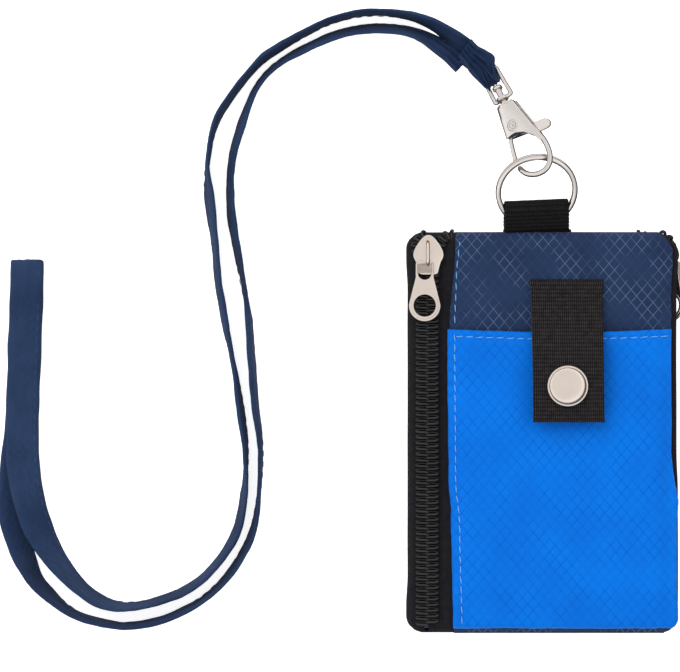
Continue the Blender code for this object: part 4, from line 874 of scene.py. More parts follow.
def slack(x, y, amount, seed):
    """Swells and creases of a cloth piece, in millimetres."""
    swell = rough_noise(x, y, 17, 23, seed)
    lean = rough_noise(x + 0.6 * y, y - 0.5 * x, 9, 26, seed + 1)
    crease = rough_noise(x, y, 5, 7, seed + 2)
    return amount * (0.55 * swell + 0.35 * lean + 0.16 * crease)


def rolled(distance, radius, drop):
    """How far a hem has turned down at a distance from its edge."""
    if distance >= radius:
        return 0.0
    share = 1 - max(0.0, distance) / radius
    return -drop * (1 - math.sqrt(max(0.0, 1 - share * share)))


def groove(distance, depth=0.25, width=0.7):
    return -depth * math.exp(-(distance / width) ** 2)


def pucker(distance, along, size=0.1, pitch=3.2, reach=1.6):
    """Small swells between the stitches of a row."""
    return size * math.cos(2 * math.pi * along / pitch) * math.exp(-(distance / reach) ** 2)


def spaced(knots, step, edge=0.14):
    """Places from the first knot to the last, crowded at each knot."""
    out = [knots[0]]
    for low, high in zip(knots, knots[1:]):
        count = max(2, round(abs(high - low) / step))
        for i in range(1, count + 1):
            t = i / count
            out.append(low + (high - low) * (t - (1 - edge) * math.sin(2 * math.pi * t) / (2 * math.pi)))
    return out


def sheet_strip(across, up, place):
    """A strip over chosen places: across and up are lists, and place(s, y) gives its point and its map."""
    return strip(len(across) - 1, len(up) - 1, lambda u, v: place(pick(across, u), pick(up, v)))


print("cloth tools ready")

# %% [markdown]
# ## The navy front
# The front is one navy panel, from its folded edge beside the zip to the black tape at the right. The folded
# edge leans a little, as in the photograph. It is sewn with a pale blue thread, 1 to 2.5 mm in from the fold.
# Under the pocket the panel goes on to the bottom seam, where it shows as a thin navy line.

# %% Front panel
PANEL_LIFT = 1.1
FOLD_X = -28.2
RIGHT_SEAM_X = 39.4
FOLD_PLACES = ((60, -26.1), (56, -26.4), (31.6, -28.0), (30.8, -28.5), (-10, -28.2), (-30, -27.4),
               (-60, -26.8))
SEW_PLACES = ((60, -24.8), (46, -26.0), (31.6, -26.5), (-14, -26.2), (-28, -25.0), (-60, -24.3))
POCKET_TOP = 31.05
POCKET_FOOT = -58.8
reach_left = reach_at(FOLD_X, True)
reach_right = reach_at(RIGHT_SEAM_X, True)


def front_reach(x):
    """The front falls evenly from the left fold to the tip, so its reach goes with x."""
    return reach_left + (x - FOLD_X) * (reach_right - reach_left) / (RIGHT_SEAM_X - FOLD_X)


def edge_wave(y, seed):
    slow = 0.22 * noise.noise(Vector((y / 6.5, seed * 3.1, 0)))
    return slow + 0.1 * noise.noise(Vector((y / 1.9, seed, 5)))


def along_table(table, y):
    """A value from a table of (height, value), eased between its rows."""
    for (high, first), (low, last) in zip(table, table[1:]):
        if y >= low:
            return first + (last - first) * ease((high - y) / (high - low))
    return table[-1][1]


def front_left(y):
    return along_table(FOLD_PLACES, y) + edge_wave(y, 1)


def sew_line(y):
    return along_table(SEW_PLACES, y)


def front_surface(x, y):
    """The navy front's own height off the section."""
    lift = PANEL_LIFT + slack(x, y, 0.42, 3) * ease((60 - abs(y)) / 7)
    lift += groove(x - sew_line(y)) + pucker(x - sew_line(y), y, 0.08)
    return lift


def lay_front(s, y):
    """s runs from 0 at the fold to 1 at the right seam."""
    left, right = front_left(y), 39.3 + edge_wave(y, 2)
    x = left + (right - left) * s
    reach = front_reach(x)
    lift = front_surface(x, y) + rolled(x - left, 0.7, 0.8) + rolled(right - x, 0.9, 0.5)
    return on_wallet(reach, y, lift), (x, y)


def seam_rows(low, high, step):
    return spaced([low, -57.5, 57.5, high], step)


front_form = sheet_strip(spaced([0, 0.035, 1], 0.0095), seam_rows(-60.3, 60.2, 0.62), lay_front)
front_cloth = place_piece("front_cloth", front_form, NAVY, "wallet", ["front_panel"], 0)
wall(front_cloth, 0.5)

# %% [markdown]
# ## The blue pocket
# The pocket is the brightest part of the wallet. Its top edge is a sewn hem about 2 mm deep, a little
# thicker than the rest, and cards have pushed the cloth out into a shallow swell. Creases fan out from the
# snap, where the tab pulls.

# %% Pocket
POCKET_LIFT = 2.05
POCKET_ROOM = 1.0
POCKET_EASE = 6.0
HEM_DEPTH = 2.1
SNAP_X, SNAP_Y = 7.3, 14.0


def pocket_room(x, y):
    inside = ease((x - FOLD_X) / POCKET_EASE) * ease((39.2 - x) / POCKET_EASE)
    return POCKET_ROOM * inside * ease((y - POCKET_FOOT) / (2 * POCKET_EASE))


def pocket_edge(x):
    """The height of the pocket's top edge, a little lower in its middle."""
    return POCKET_TOP - 0.9 * math.sin(math.pi * (x + 28) / 67) + 0.12 * rough_noise(x, 0, 5, 5, 9)


def pull_creases(x, y):
    """Creases that fan out from the snap, fading with distance."""
    dx, dy = x - SNAP_X, y - SNAP_Y
    away = math.hypot(dx, dy)
    fan = math.cos(5 * math.atan2(dy, dx) + 0.8)
    return 0.16 * fan * ease((away - 6) / 6) * ease((34 - away) / 20)


def pocket_surface(x, y):
    lift = POCKET_LIFT + pocket_room(x, y) + slack(x, y, 0.5, 11) * ease((58 + y) / 8) + pull_creases(x, y)
    lift += groove(x - sew_line(y)) + pucker(x - sew_line(y), y, 0.1)
    top = pocket_edge(x) - y
    lift += groove(top - HEM_DEPTH, 0.22, 0.45) + pucker(top - HEM_DEPTH, x, 0.07, 3.5, 1.0)
    lift += 0.1 * ease((HEM_DEPTH - top) / 0.6)
    return lift


def lay_pocket(s, t):
    """t runs from 0 at the foot to 1 at the hem's edge."""
    level = POCKET_FOOT + 88 * t
    left, right = front_left(level) - 0.12, 39.35 + edge_wave(60 * t, 4) + 1.2 * ease((-5 - level) / 18)
    x = left + (right - left) * s
    top = pocket_edge(x)
    foot = POCKET_FOOT + edge_wave(x, 6)
    y = foot + (top - foot) * t
    lift = pocket_surface(x, y) + rolled(x - left, 0.8, 1.0) + rolled(right - x, 1.0, 0.9)
    lift += rolled(top - y, 0.55, 0.7) + rolled(y - foot, 0.7, 0.8)
    return on_wallet(front_reach(x), y, lift), (x + 1.3, y + 0.7)


pocket_form = sheet_strip(
    spaced([0, 0.035, 1], 0.0095), spaced([0, 0.94, 0.976, 1], 0.0085), lay_pocket)
pocket_cloth = place_piece("pocket_cloth", pocket_form, BLUE, "wallet", ["front_pocket"], 0)
wall(pocket_cloth, 0.6)

# %% [markdown]
# ## The back
# The back is navy too, with a badge window. The window is an opening in the cloth: the grid's faces inside
# it are deleted, and the cloth round it is turned down like a hem. Behind it lie a clear film and the grey
# lining.

# %% Back panel
WINDOW = (-29.4, -35.2, 17.3, 40.0)
BACK_LEFT, BACK_RIGHT = -38.6, 28.9
BACK_SEAM_X = 24.9
back_start, back_end = reach_at(BACK_RIGHT - 1, False), reach_at(BACK_LEFT + 1, False)


def back_reach(x):
    """The back's reach goes with x; near its right edge it turns up the slanted side."""
    return back_end + (x - BACK_LEFT - 1) * (back_start - back_end) / (BACK_RIGHT - BACK_LEFT - 2)


def window_distance(x, y):
    """How far a point of the back lies outside the window; negative inside."""
    left, low, right, high = WINDOW
    return max(left - x, x - right, low - y, y - high)


def back_surface(x, y):
    edge = window_distance(x, y)
    lift = PANEL_LIFT + slack(x, y, 0.3, 21) * ease((60 - abs(y)) / 7) * ease(edge / 3) * 0.5
    lift += groove(edge - 2.0, 0.2, 0.5) + groove(x - BACK_SEAM_X, 0.2, 0.5)
    return lift + rolled(edge, 0.7, 0.45)


def lay_back(x, y):
    lift = back_surface(x, y) + rolled(BACK_RIGHT - x, 0.7, 0.8) + rolled(x - BACK_LEFT, 0.7, 0.6)
    return on_wallet(back_reach(x), y, min(lift, PANEL_LIFT)), (-x, y)


across_back = spaced([BACK_RIGHT, BACK_SEAM_X, WINDOW[2], WINDOW[0], BACK_LEFT], 0.7)
up_back = spaced([-60.3, WINDOW[1], WINDOW[3], 60.2], 0.8)
back_form = sheet_strip(across_back, up_back, lay_back)
gone = [face for face in back_form.faces
        if window_distance(*((face.calc_center_median() - HOME) / MM).to_2d()) < 0
        and face.calc_center_median().z < 1.5 * MM]
bmesh.ops.delete(back_form, geom=gone, context="FACES")
back_cloth = place_piece("back_cloth", back_form, NAVY, "wallet", ["back_panel"], 0)
wall(back_cloth, 0.5)

# %% [markdown]
# The film is a soft clear sheet, a little wavy. The plain grey lining behind it shows through.

# %% Window film and lining


def lay_film(x, y):
    ripple = 0.1 * rough_noise(x, y, 14, 21, 31)
    return at(x, y, 1.25 + ripple), (-x, y)


def lay_lining(x, y):
    return at(x, y, 1.95 + 0.12 * rough_noise(x, y, 12, 17, 33)), (-x, y)


film_across, film_up = spaced([20.2, -32.3], 1.3, 1), spaced([-38.1, 42.9], 1.3, 1)
film_form = sheet_strip(film_across, film_up, lay_film)
film = place_piece("window_sheet", film_form, FILM, "wallet", ["window_film"], 0)
wall(film, 0.25, 0.0)
lining_form = sheet_strip(film_across, film_up, lay_lining)
lining = place_piece("window_backing", lining_form, LINING, "wallet", ["window_lining"], 0)
wall(lining, 0.3, 0.0)

# %% [markdown]
# ## Zip tapes
# Each zip has two tapes, one on each side of its chain. On the front the outer tape wraps the wallet's left
# edge; on the back the outer tape wraps the right edge, where it shows from the front as a thin black line.

# %% Tapes
ZIP_FRONT_X, ZIP_FRONT_Z = -34.935, 9.869
ZIP_BACK_X, ZIP_BACK_Z = 35.728, 6.33
TOTAL = SECTION_REACH[-1]
ZIP_FRONT = reach_at(ZIP_FRONT_X, True)
zip_back_place = Vector((ZIP_BACK_X, ZIP_BACK_Z))
reaches = [TOTAL * i / OUTLINE_STEPS for i in range(OUTLINE_STEPS)]
ZIP_BACK = min(reaches, key=lambda reach: (section_point(reach)[0] - zip_back_place).length)


def make_tape(name, first, last, seed, node):
    def lay(reach, y):
        lift = 0.02 + 0.1 * rough_noise(reach, y, 8, 14, seed) * ease((60 - abs(y)) / 6)
        return on_wallet(reach, y + 0.15 * math.sin(reach * 3) * (abs(y) > 59), lift), (reach, y)

    form = sheet_strip(spaced([first, last], 0.55), seam_rows(-60.0, 60.0, 0.8), lay)
    return wall(place_piece(name, form, TAPE, "wallet", [node], 0), 0.4)


make_tape("front_edge_tape", TOTAL + reach_at(-37.5, False), ZIP_FRONT + 0.6, 41, "front_tape_outer")
make_tape("front_inner_tape", ZIP_FRONT - 0.6, reach_at(-24.5, True), 42, "front_tape_inner")
make_tape("back_inner_tape", ZIP_BACK - 0.6, reach_at(26.5, False), 43, "back_tape_inner")
make_tape("back_edge_tape", reach_at(37.4, True), ZIP_BACK + 0.6, 44, "back_tape_outer")

# %% [markdown]
# ## Zip chains
# A nylon zip is two coils of one thick thread, wound flat and locked into each other. Each turn crosses the
# middle, hooks round the other coil's turn and goes back. A helix with a flat section gives that shape. At
# the slider the two coils part, and their ends poke out of the top corner.

# %% Coils
COIL_PITCH = 1.7
COIL_WIRE = 0.4
PARTED = {1: ((1.5, 50), (1.9, 52), (2.7, 54.5), (4.0, 57), (5.3, 58.7), (6.8, 59.3), (8.0, 59.0)),
          -1: ((-1.5, 50), (-2.0, 52), (-2.7, 54.5), (-2.9, 56.8), (-1.9, 58.7), (0.4, 59.6), (2.2, 59.5))}
CHAIN_SHIFT = 0.5
COIL_STEPS = 16


def zip_axes(x, z, inward):
    inward = Vector((inward[0], 0, inward[1])).normalized()
    along = Vector((0, 1, 0))
    return axes_at(at(x, 0, z), inward, along, inward.cross(along))


FRONT_ZIP = zip_axes(ZIP_FRONT_X, ZIP_FRONT_Z, (0.9782, 0.2079))
BACK_ZIP = zip_axes(ZIP_BACK_X, ZIP_BACK_Z, (-0.8062, -0.5916))


def chain_line(side):
    """The middle line of one row of teeth: straight up to the slider, then away from the other row."""
    low = [Vector((side * 1.5, -58.6 + 0.3 * i, 0)) for i in range(362)]
    high = smooth_points([(x, y, 0) for x, y in PARTED[side]], 12)
    return low + high


def coil_points(side):
    """The thread's middle line in the zip's own frame, in millimetres."""
    line = chain_line(side)
    reach = reach_along(line)
    out, i = [], 0
    turns = int(reach[-1] / COIL_PITCH) - 1
    for k in range(turns * COIL_STEPS + 1):
        angle = 2 * math.pi * k / COIL_STEPS
        spot = COIL_PITCH * (k / COIL_STEPS + (0.75 if side > 0 else 0.25)) + 0.14 * math.sin(2 * angle)
        while i < len(reach) - 2 and reach[i + 1] < spot:
            i += 1
        share = (spot - reach[i]) / (reach[i + 1] - reach[i])
        ahead = (line[i + 1] - line[i]).normalized()
        place = line[i].lerp(line[i + 1], share)
        away = Vector((ahead.y, -ahead.x, 0)) * side
        droop = 0.19 * max(0.0, place.y - 56) ** 2
        swing = 1.78 - 0.5 * ease((place.y - 56.5) / 2.5)
        rise = 1.2 + 0.5 * math.sin(angle) - droop
        place += away * (-swing * math.cos(angle)) + Vector((CHAIN_SHIFT, 0, rise))
        out.append(place)
    return out


def tube(points, radius, sides=6, closed=False):
    """A tube along points, swept with a frame that doesn't twist; radius is one number or one a point."""
    form = bmesh.new()
    form.loops.layers.uv.new("cloth")
    rings = []
    up = Vector((0, 0, 1))
    radii = radius if isinstance(radius, (list, tuple)) else [radius] * len(points)
    for i, point in enumerate(points):
        ahead = (points[min(i + 1, len(points) - 1)] - points[max(i - 1, 0)]).normalized()
        up = (up - ahead * up.dot(ahead))
        up = up.normalized() if up.length > 1e-6 else ahead.orthogonal().normalized()
        side = ahead.cross(up)
        ring = []
        for k in range(sides):
            turn = 2 * math.pi * k / sides
            ring.append(form.verts.new(point + (up * math.cos(turn) + side * math.sin(turn)) * radii[i]))
        rings.append(ring)
    if closed:
        rings.append(rings[0])
    for low, high in zip(rings, rings[1:]):
        for k in range(sides):
            form.faces.new((low[k], low[(k + 1) % sides], high[(k + 1) % sides], high[k]))
    if not closed:
        form.faces.new(rings[0])
        form.faces.new(list(reversed(rings[-1])))
    bmesh.ops.recalc_face_normals(form, faces=form.faces)
    return form


def make_coil(name, frame_axes, side, node):
    line = coil_points(side)
    points = [frame_axes @ (point * MM) for point in line]
    thick = [(COIL_WIRE + 0.14 * ease((point.y - 56.5) / 2)) * MM for point in line]
    return place_piece(name, tube(points, thick), NYLON, "wallet", [node], 0)


for prefix, axes in (("front", FRONT_ZIP), ("back", BACK_ZIP)):
    make_coil(f"{prefix}_zip_coil_inner", axes, 1, f"{prefix}_coil_inner")
    make_coil(f"{prefix}_zip_coil_outer", axes, -1, f"{prefix}_coil_outer")

# %% [markdown]
# ## Webbing tab and ring loop
# Both are the same narrow webbing, whose ribs run across it. The ribs are modelled, because their scalloped
# edge shows against the blue. The tab rises over the pocket's hem and the snap; the loop goes round the split
# ring and back into the top seam.

# %% Webbing
RIB_PITCH = 1.2
WEB_WALL = 0.95


def webbing(name, path, shape, body, node, width_places):
    """Ribbed webbing along a path in the y-z plane, which shape(x, s, place, out) puts in the scene."""
    line = smooth_points([(0, y, z) for y, z in path], 10)
    reach = reach_along(line)

    def lay(x, s):
        i = max(k for k in range(len(reach) - 1) if reach[k] <= s + 1e-9)
        share = (s - reach[i]) / max(1e-9, reach[i + 1] - reach[i])
        ahead = (line[i + 1] - line[i]).normalized()
        out = Vector((0, -ahead.z, ahead.y))
        crest = 1 - 2 * abs(math.sin(math.pi * s / RIB_PITCH)) ** 1.3
        rib = 0.24 * crest * (1 + 0.3 * rough_noise(x, s, 2, 1.5, 57))
        bow = 1 + 0.012 * math.cos(2 * math.pi * s / RIB_PITCH) + 0.006 * rough_noise(s, 0, 6, 1, 51)
        place = line[i].lerp(line[i + 1], share) + out * rib
        return shape(x * bow, s / reach[-1], place, out), (x, s)

    count = round(reach[-1] / RIB_PITCH * 6)
    rows = [reach[-1] * i / count for i in range(count + 1)]
    form = sheet_strip(width_places, rows, lay)
    made = place_piece(name, form, WEBBING, body, [node], 0)
    return wall(made, WEB_WALL, 0.0, 0.22)


TAB_LEFT, TAB_RIGHT = -3.0, 18.2
TAB_PATH = ((3.4, 18.15), (8, 18.2), (14, 18.2), (20.2, 18.2), (25.5, 17.3), (31, 15.3), (36.5, 13.6),
            (39.5, 13.25), (45.6, 13.25))


def tab_shape(x, s, place, out):
    wider = 1 + 0.03 * ease((s - 0.93) / 0.04)
    middle = (TAB_LEFT + TAB_RIGHT) / 2 - 0.55 * s
    return at(middle + x * wider, place.y, place.z + 0.1 * rough_noise(x, place.y, 8, 11, 53))


half_tab = (TAB_RIGHT - TAB_LEFT) / 2
webbing("tab_webbing", TAB_PATH, tab_shape, "snap_tab", "snap_tab", spaced([-half_tab, half_tab], 0.9))

RING_SHIFT, RING_TILT, RING_LEAN = 0.7, 29, 5
RING = Matrix.Translation(RING_MIDDLE - Vector((0, RING_SHIFT, 0)) * MM)
RING = RING @ Matrix.Rotation(math.radians(RING_TILT), 4, "X")
RING = RING @ Matrix.Rotation(math.radians(RING_LEAN), 4, "Y")
RING_RADIUS, RING_INNER = 12.4, 10.75
RING_STEP = 1.05
KEEPER_HALF = 9.6
fold = -math.sqrt(RING_INNER ** 2 - KEEPER_HALF ** 2) + 0.35
tall = RING_STEP + 0.475 + 0.375
web_high = tall + WEB_WALL / 2
KEEPER_SEAM = (60.3, 5.0)
KEEPER_BASE = (Vector(KEEPER_SEAM) - Vector((72.4, 12.4))).length
foot, broad = -RING_RADIUS - 0.45, -RING_RADIUS + 0.8
KEEPER_PATH = [(-KEEPER_BASE, -0.55), (foot, -0.58 * tall - 0.55), (broad, -web_high)]
KEEPER_PATH.append((fold - web_high - 0.6, -web_high))
for degrees in (-55, -27, 0, 27, 55):
    turn = math.radians(degrees)
    KEEPER_PATH.append((fold - tall + web_high * math.cos(turn), web_high * math.sin(turn)))
KEEPER_PATH.append((fold - web_high - 0.6, web_high))
KEEPER_PATH += [(broad, web_high), (foot, 0.58 * tall + 0.55), (-KEEPER_BASE, 0.55)]


def keeper_shape(x, s, place, out):
    """Level at the seam, tilted with the ring at its fold."""
    share = ease((place.y + KEEPER_BASE) / (foot + KEEPER_BASE))
    width = 1 + 0.057 * (1 - share)
    seam_y, seam_z = KEEPER_SEAM
    level = at(-1.9 + (x + 0.32) * width, seam_y + place.y + KEEPER_BASE, seam_z + place.z)
    return level.lerp(RING @ (Vector((x, place.y, place.z)) * MM), share)


keeper_width = spaced([KEEPER_HALF, -KEEPER_HALF], 0.9)
webbing("ring_loop", KEEPER_PATH, keeper_shape, "keeper", "ring_keeper", keeper_width)

# %% [markdown]
# ## Stitches
# A stitch is a short piece of thread that dips into the cloth at both ends. A tiny sphere stretched along
# the seam looks just like that, and costs thirty faces. Rows that belong together are one piece: the sphere
# is copied at equal steps along lines that lie on the cloth.

# %% Stitches


def stitch_row(name, lines, pitch, look, body, length=2.7, thick=0.4):
    """Stitches along lines; a line is a list of (place, outward) pairs."""
    form = bmesh.new()
    count = 0
    for line in lines:
        reach = reach_along([place for place, out in line], MM)
        amount = int(reach[-1] / pitch)
        for k in range(amount):
            middle = (k + 0.5) * reach[-1] / amount
            ends = []
            for spot in (middle - length / 2, middle + length / 2):
                spot = min(max(spot, 0.0), reach[-1] - 1e-6)
                i = max(j for j in range(len(reach) - 1) if reach[j] <= spot)
                share = (spot - reach[i]) / max(1e-9, reach[i + 1] - reach[i])
                ends.append(line[i][0].lerp(line[i + 1][0], share))
                out = line[i][1]
            travel = (ends[1] - ends[0]).normalized()
            lean = math.radians(5) + math.radians(3) * math.sin(count * 2.3)
            side = out.cross(travel).normalized()
            travel = (travel * math.cos(lean) + side * math.sin(lean)).normalized()
            side = out.cross(travel).normalized()
            turn = Matrix((travel, side, travel.cross(side))).transposed().to_4x4()
            size = Matrix.Diagonal((length / 2 * MM, thick / 2 * MM, thick / 2 * MM, 1))
            place = Matrix.Translation(ends[0].lerp(ends[1], 0.5)) @ turn @ size
            bmesh.ops.create_uvsphere(form, u_segments=6, v_segments=5, radius=1, matrix=place)
            count += 1
    print(name, count, "stitches")
    return place_piece(name, form, look, body, (), 0)


UP = Vector((0, 0, 1))


def front_line(x_of, low, high, surface, lift=0.1, step=1.0):
    out = []
    for i in range(int((high - low) / step) + 1):
        y = low + (high - low) * i / int((high - low) / step)
        x = x_of(y)
        out.append((on_wallet(front_reach(x), y, surface(x, y) + lift), UP))
    return out


hem_line = []
for i in range(67):
    x = sew_line(29) + (38.6 - sew_line(29)) * i / 66
    y = pocket_edge(x) - HEM_DEPTH
    hem_line.append((on_wallet(front_reach(x), y, pocket_surface(x, y) + 0.1), UP))
navy_rows = [front_line(sew_line, POCKET_TOP + 1.2, 58.6, front_surface)]
pocket_rows = [front_line(sew_line, -57.8, POCKET_TOP - 1.2, pocket_surface), hem_line]
stitch_row("front_stitches", navy_rows + pocket_rows, 3.0, BLUE_THREAD, "wallet")


def back_line(points, step=1.0, lift=0.08):
    out = []
    for (xa, ya), (xb, yb) in zip(points, points[1:]):
        count = max(1, round(math.hypot(xb - xa, yb - ya) / step))
        for i in range(count):
            x, y = xa + (xb - xa) * i / count, ya + (yb - ya) * i / count
            out.append((on_wallet(back_reach(x), y, back_surface(x, y) + lift), -UP))
    return out


left, low, right, high = (WINDOW[0] - 2, WINDOW[1] - 2, WINDOW[2] + 2, WINDOW[3] + 2)
window_seam = back_line([(left, low), (right, low), (right, high), (left, high), (left, low)])
zip_seam = back_line([(BACK_SEAM_X, -58.4), (BACK_SEAM_X, 58.4)])
stitch_row("back_stitches", [window_seam, zip_seam], 3.0, NAVY_THREAD, "wallet")

# %% [markdown]
# The lanyard is sewn shut along one edge, and the row of stitches shows on both its faces.

# %% Lanyard stitches


def strap_line(across, start, end, face, step=2.5):
    out = []
    count = int((end - start) / (step * MM))
    for i in range(count + 1):
        distance = start + (end - start) * i / count
        centre, way, normal, width = strap_frame(distance)
        spot = centre + way * across * width / 2
        out.append((spot + normal * face * STRAP_THICKNESS * 0.47, normal * face))
    return out


strap_rows = [strap_line(across, 42 * MM, STRAP_LENGTH - 4 * MM, face)
              for across in (-0.72,) for face in (1, -1)]
stitch_row("lanyard_stitches", strap_rows, 3.3, NAVY_THREAD, "lanyard", 2.3, 0.22)

# %% [markdown]
# ## Metal
# Cast and stamped metal has rounded edges, and those edges are what the eye sees: each draws a thin bright
# or dark line. A plate is a stack of rings: its outline, moved inward step by step as the edge rounds over.
# The wire parts are swept tubes, and the turned parts are spun from a profile.

# %% Tools for plates and turned parts


def inset_line(outline, distance):
    """A counterclockwise outline moved inward by a distance."""
    out = []
    for i, here in enumerate(outline):
        a = (Vector(here) - Vector(outline[i - 1])).normalized()
        b = (Vector(outline[(i + 1) % len(outline)]) - Vector(here)).normalized()
        inward = Vector((-(a + b).y, (a + b).x)).normalized()
        out.append(Vector(here) + inward * distance / max(0.6, inward.dot(Vector((-a.y, a.x)))))
    return out


def slab(outline, low, high, rounding, steps=4):
    """A closed plate with rounded edges, in millimetres."""
    turns = [math.pi / 2 * i / steps for i in range(steps + 1)]
    rings = [(rounding + 0.08, low)]
    rings += [(rounding * (1 - math.sin(t)), low + rounding * (1 - math.cos(t))) for t in turns]
    rings += [(rounding * (1 - math.cos(t)), high - rounding * (1 - math.sin(t))) for t in turns]
    rings.append((rounding + 0.08, high))
    lines = [inset_line(outline, inset) for inset, _ in rings]

    def lay(u, v):
        k = round(v * (len(rings) - 1))
        x, y = lines[k][round(u * len(outline)) % len(outline)]
        return Vector((x, y, rings[k][1])), (x, y)

    return strip(len(outline), len(rings) - 1, lay, closed=True)


def join(form, other):
    """Adds another bmesh's shape to this one."""
    spare = bpy.data.meshes.new("spare")
    other.to_mesh(spare)
    other.free()
    form.from_mesh(spare)
    bpy.data.meshes.remove(spare)
    return form


def spun(profile, steps=64):
    """A round piece in millimetres, from a profile of (radius, height)."""
    form = bmesh.new()
    points = [form.verts.new((r, 0, z)) for r, z in profile]
    edges = [form.edges.new(pair) for pair in zip(points, points[1:])]
    bmesh.ops.spin(form, geom=points + edges, cent=(0, 0, 0), axis=(0, 0, 1), angle=2 * math.pi, steps=steps,
                   use_merge=True)
    bmesh.ops.remove_doubles(form, verts=form.verts, dist=0.001)
    bmesh.ops.recalc_face_normals(form, faces=form.faces)
    return form


def set_metal(name, form, axes, look, body, replaces, sharp=35):
    bmesh.ops.recalc_face_normals(form, faces=form.faces)
    bmesh.ops.transform(form, matrix=axes @ FROM_MM, verts=form.verts)
    return place_piece(name, form, look, body, replaces, sharp)


print("metal tools ready")

# %% [markdown]
# ## The trigger snap
# The body is a die casting in the shape of a wedge. It is slotted from its thumb side for the lever, so it
# is two cheeks that come together at the collar and again at the claw, which goes on as a round wire. The
# shape is read off the photograph in the clasp's own axes: x across, y towards the swivel, z out of its face.

# %% Casting
CHEEK_TOP = ((-2.65, 6.5), (3.4, 6.5))
CHEEK_FOOT = ((-3.95, -3.2), (-2.3, -3.05), (0.0, -3.2), (2.3, -4.5), (4.3, -6.6), (5.35, -9.0), (7.05, -9.3))
CLAW = ((5.6, -6.8, 0), (6.15, -8.6, 0), (6.4, -10.4, 0), (6.4, -12.4, 0), (5.9, -14.9, 0), (4.7, -16.8, 0),
        (2.8, -17.85, 0), (0.6, -17.85, 0), (-1.5, -17.1, 0), (-3.3, -15.7, 0), (-4.4, -13.9, 0),
        (-4.75, -12.3, 0))
foot_line = smooth_points([(x, y, 0) for x, y in CHEEK_FOOT], 8)


def lay_cheek(u, v, sign):
    """u runs round the cheek's section; v from the collar to the foot."""
    turn = 2 * math.pi * u
    across = math.copysign(abs(math.cos(turn)) ** 0.42, math.cos(turn))
    face = math.copysign(abs(math.sin(turn)) ** 0.55, math.sin(turn))
    share = 0.5 + across / 2
    (xa, ya), (xb, yb) = CHEEK_TOP
    high = Vector((xa + (xb - xa) * share, ya + (yb - ya) * share, 0))
    exact = share * (len(foot_line) - 1)
    k = min(int(exact), len(foot_line) - 2)
    low = foot_line[k].lerp(foot_line[k + 1], exact - k)
    t = 0.5 - 0.5 * math.cos(math.pi * v)
    spot = high.lerp(low, t)
    slot = ease((3.9 - spot.y) / 1.2) * (1 - ease((-5.6 - spot.y) / 2.4))
    top = 1.72 - 0.86 * ease((-5.0 - spot.y) / 3.6)
    half = 0.43 * slot + top / 2 * (1 - slot)
    middle = top - half
    end = max(0.0, 1 - abs(2 * v - 1) ** 24) ** 0.5
    crown = 0.32 * (1 - across * across) * (1 - 0.5 * t)
    bulge = face * (half + (crown if face * sign > 0 else 0)) * (0.12 + 0.88 * end)
    spot.z = sign * middle + bulge
    return spot, (spot.x, spot.y)


casting = bmesh.new()
for sign in (1, -1):
    join(casting, strip(72, 56, lambda u, v: lay_cheek(u, v, sign), closed=True))
claw_line = smooth_points(CLAW, 8)
claw_size = [0.84 if i < len(claw_line) - 6 else 0.84 * math.sqrt(1 - ((i - len(claw_line) + 7) / 7.4) ** 2)
             for i in range(len(claw_line))]
join(casting, tube(claw_line, claw_size, 20))
COLLAR_SIDE = ((0, 6.2), (2.5, 6.2), (2.75, 6.25), (2.88, 6.4), (2.92, 6.6), (2.92, 6.9), (2.86, 7.1),
               (2.7, 7.2), (2.4, 7.26), (0.95, 7.26), (0.95, 12.2), (1.35, 12.3), (1.55, 12.5), (1.6, 12.8),
               (1.55, 13.2), (1.35, 13.5), (1.0, 13.65), (0, 13.7))
collar = spun(COLLAR_SIDE, 48)
bmesh.ops.transform(collar, matrix=Matrix.Rotation(-math.pi / 2, 4, "X"), verts=collar.verts)
for vertex in collar.verts:
    if vertex.co.y < 7.3:
        vertex.co.z *= 0.72
join(casting, collar)
set_metal("hook_casting", casting, SNAP, NICKEL, "hook", ["clasp_hook"])

# %% [markdown]
# The lever is one flat piece: thumb lobe, hub and gate bar. The rivet's head has a turned groove and a
# dimple. The eye is a bent wire on a small boss that the swivel post turns in.

# %% Lever, rivet and eye
LEVER = ((-5.75, -11.3), (-4.75, -11.6), (-4.3, -10.2), (-3.15, -4.8), (-2.2, -2.9), (-0.4, -2.7),
         (1.6, -3.3), (3.4, -4.6), (5.2, -6.2), (6.6, -6.7), (8.2, -7.0), (9.6, -7.1), (10.5, -6.7),
         (10.85, -5.9), (10.6, -4.9), (9.9, -4.2), (8.9, -3.8), (7.2, -3.5), (5.2, -2.9), (3.6, -1.6),
         (2.2, 0.4), (0.6, 1.5), (-1.2, 1.2), (-2.6, -0.6), (-3.6, -2.6), (-4.5, -5.4), (-5.4, -9.4))
lever_line = [(p.x, p.y) for p in smooth_points([(x, y, 0) for x, y in LEVER + LEVER[:1]], 4)[:-1]]
set_metal("gate_lever", slab(lever_line, -0.55, 0.55, 0.32), SNAP, NICKEL, "gate", ["clasp_gate"])
RIVET_SIDE = ((1.78, 1.6), (1.8, 1.95), (1.72, 2.12), (1.5, 2.22), (1.25, 2.2), (1.14, 2.0), (1.0, 1.98),
              (0.9, 2.16), (0.7, 2.24), (0.42, 2.2), (0.25, 2.02), (0, 1.98))
rivet = spun([(r, z) for r, z in reversed(RIVET_SIDE)] + [(r, -z) for r, z in RIVET_SIDE], 40)
bmesh.ops.translate(rivet, vec=(-0.05, -0.75, 0), verts=rivet.verts)
set_metal("hook_rivet", rivet, SNAP, NICKEL, "hook", ["gate_rivet"], 60)
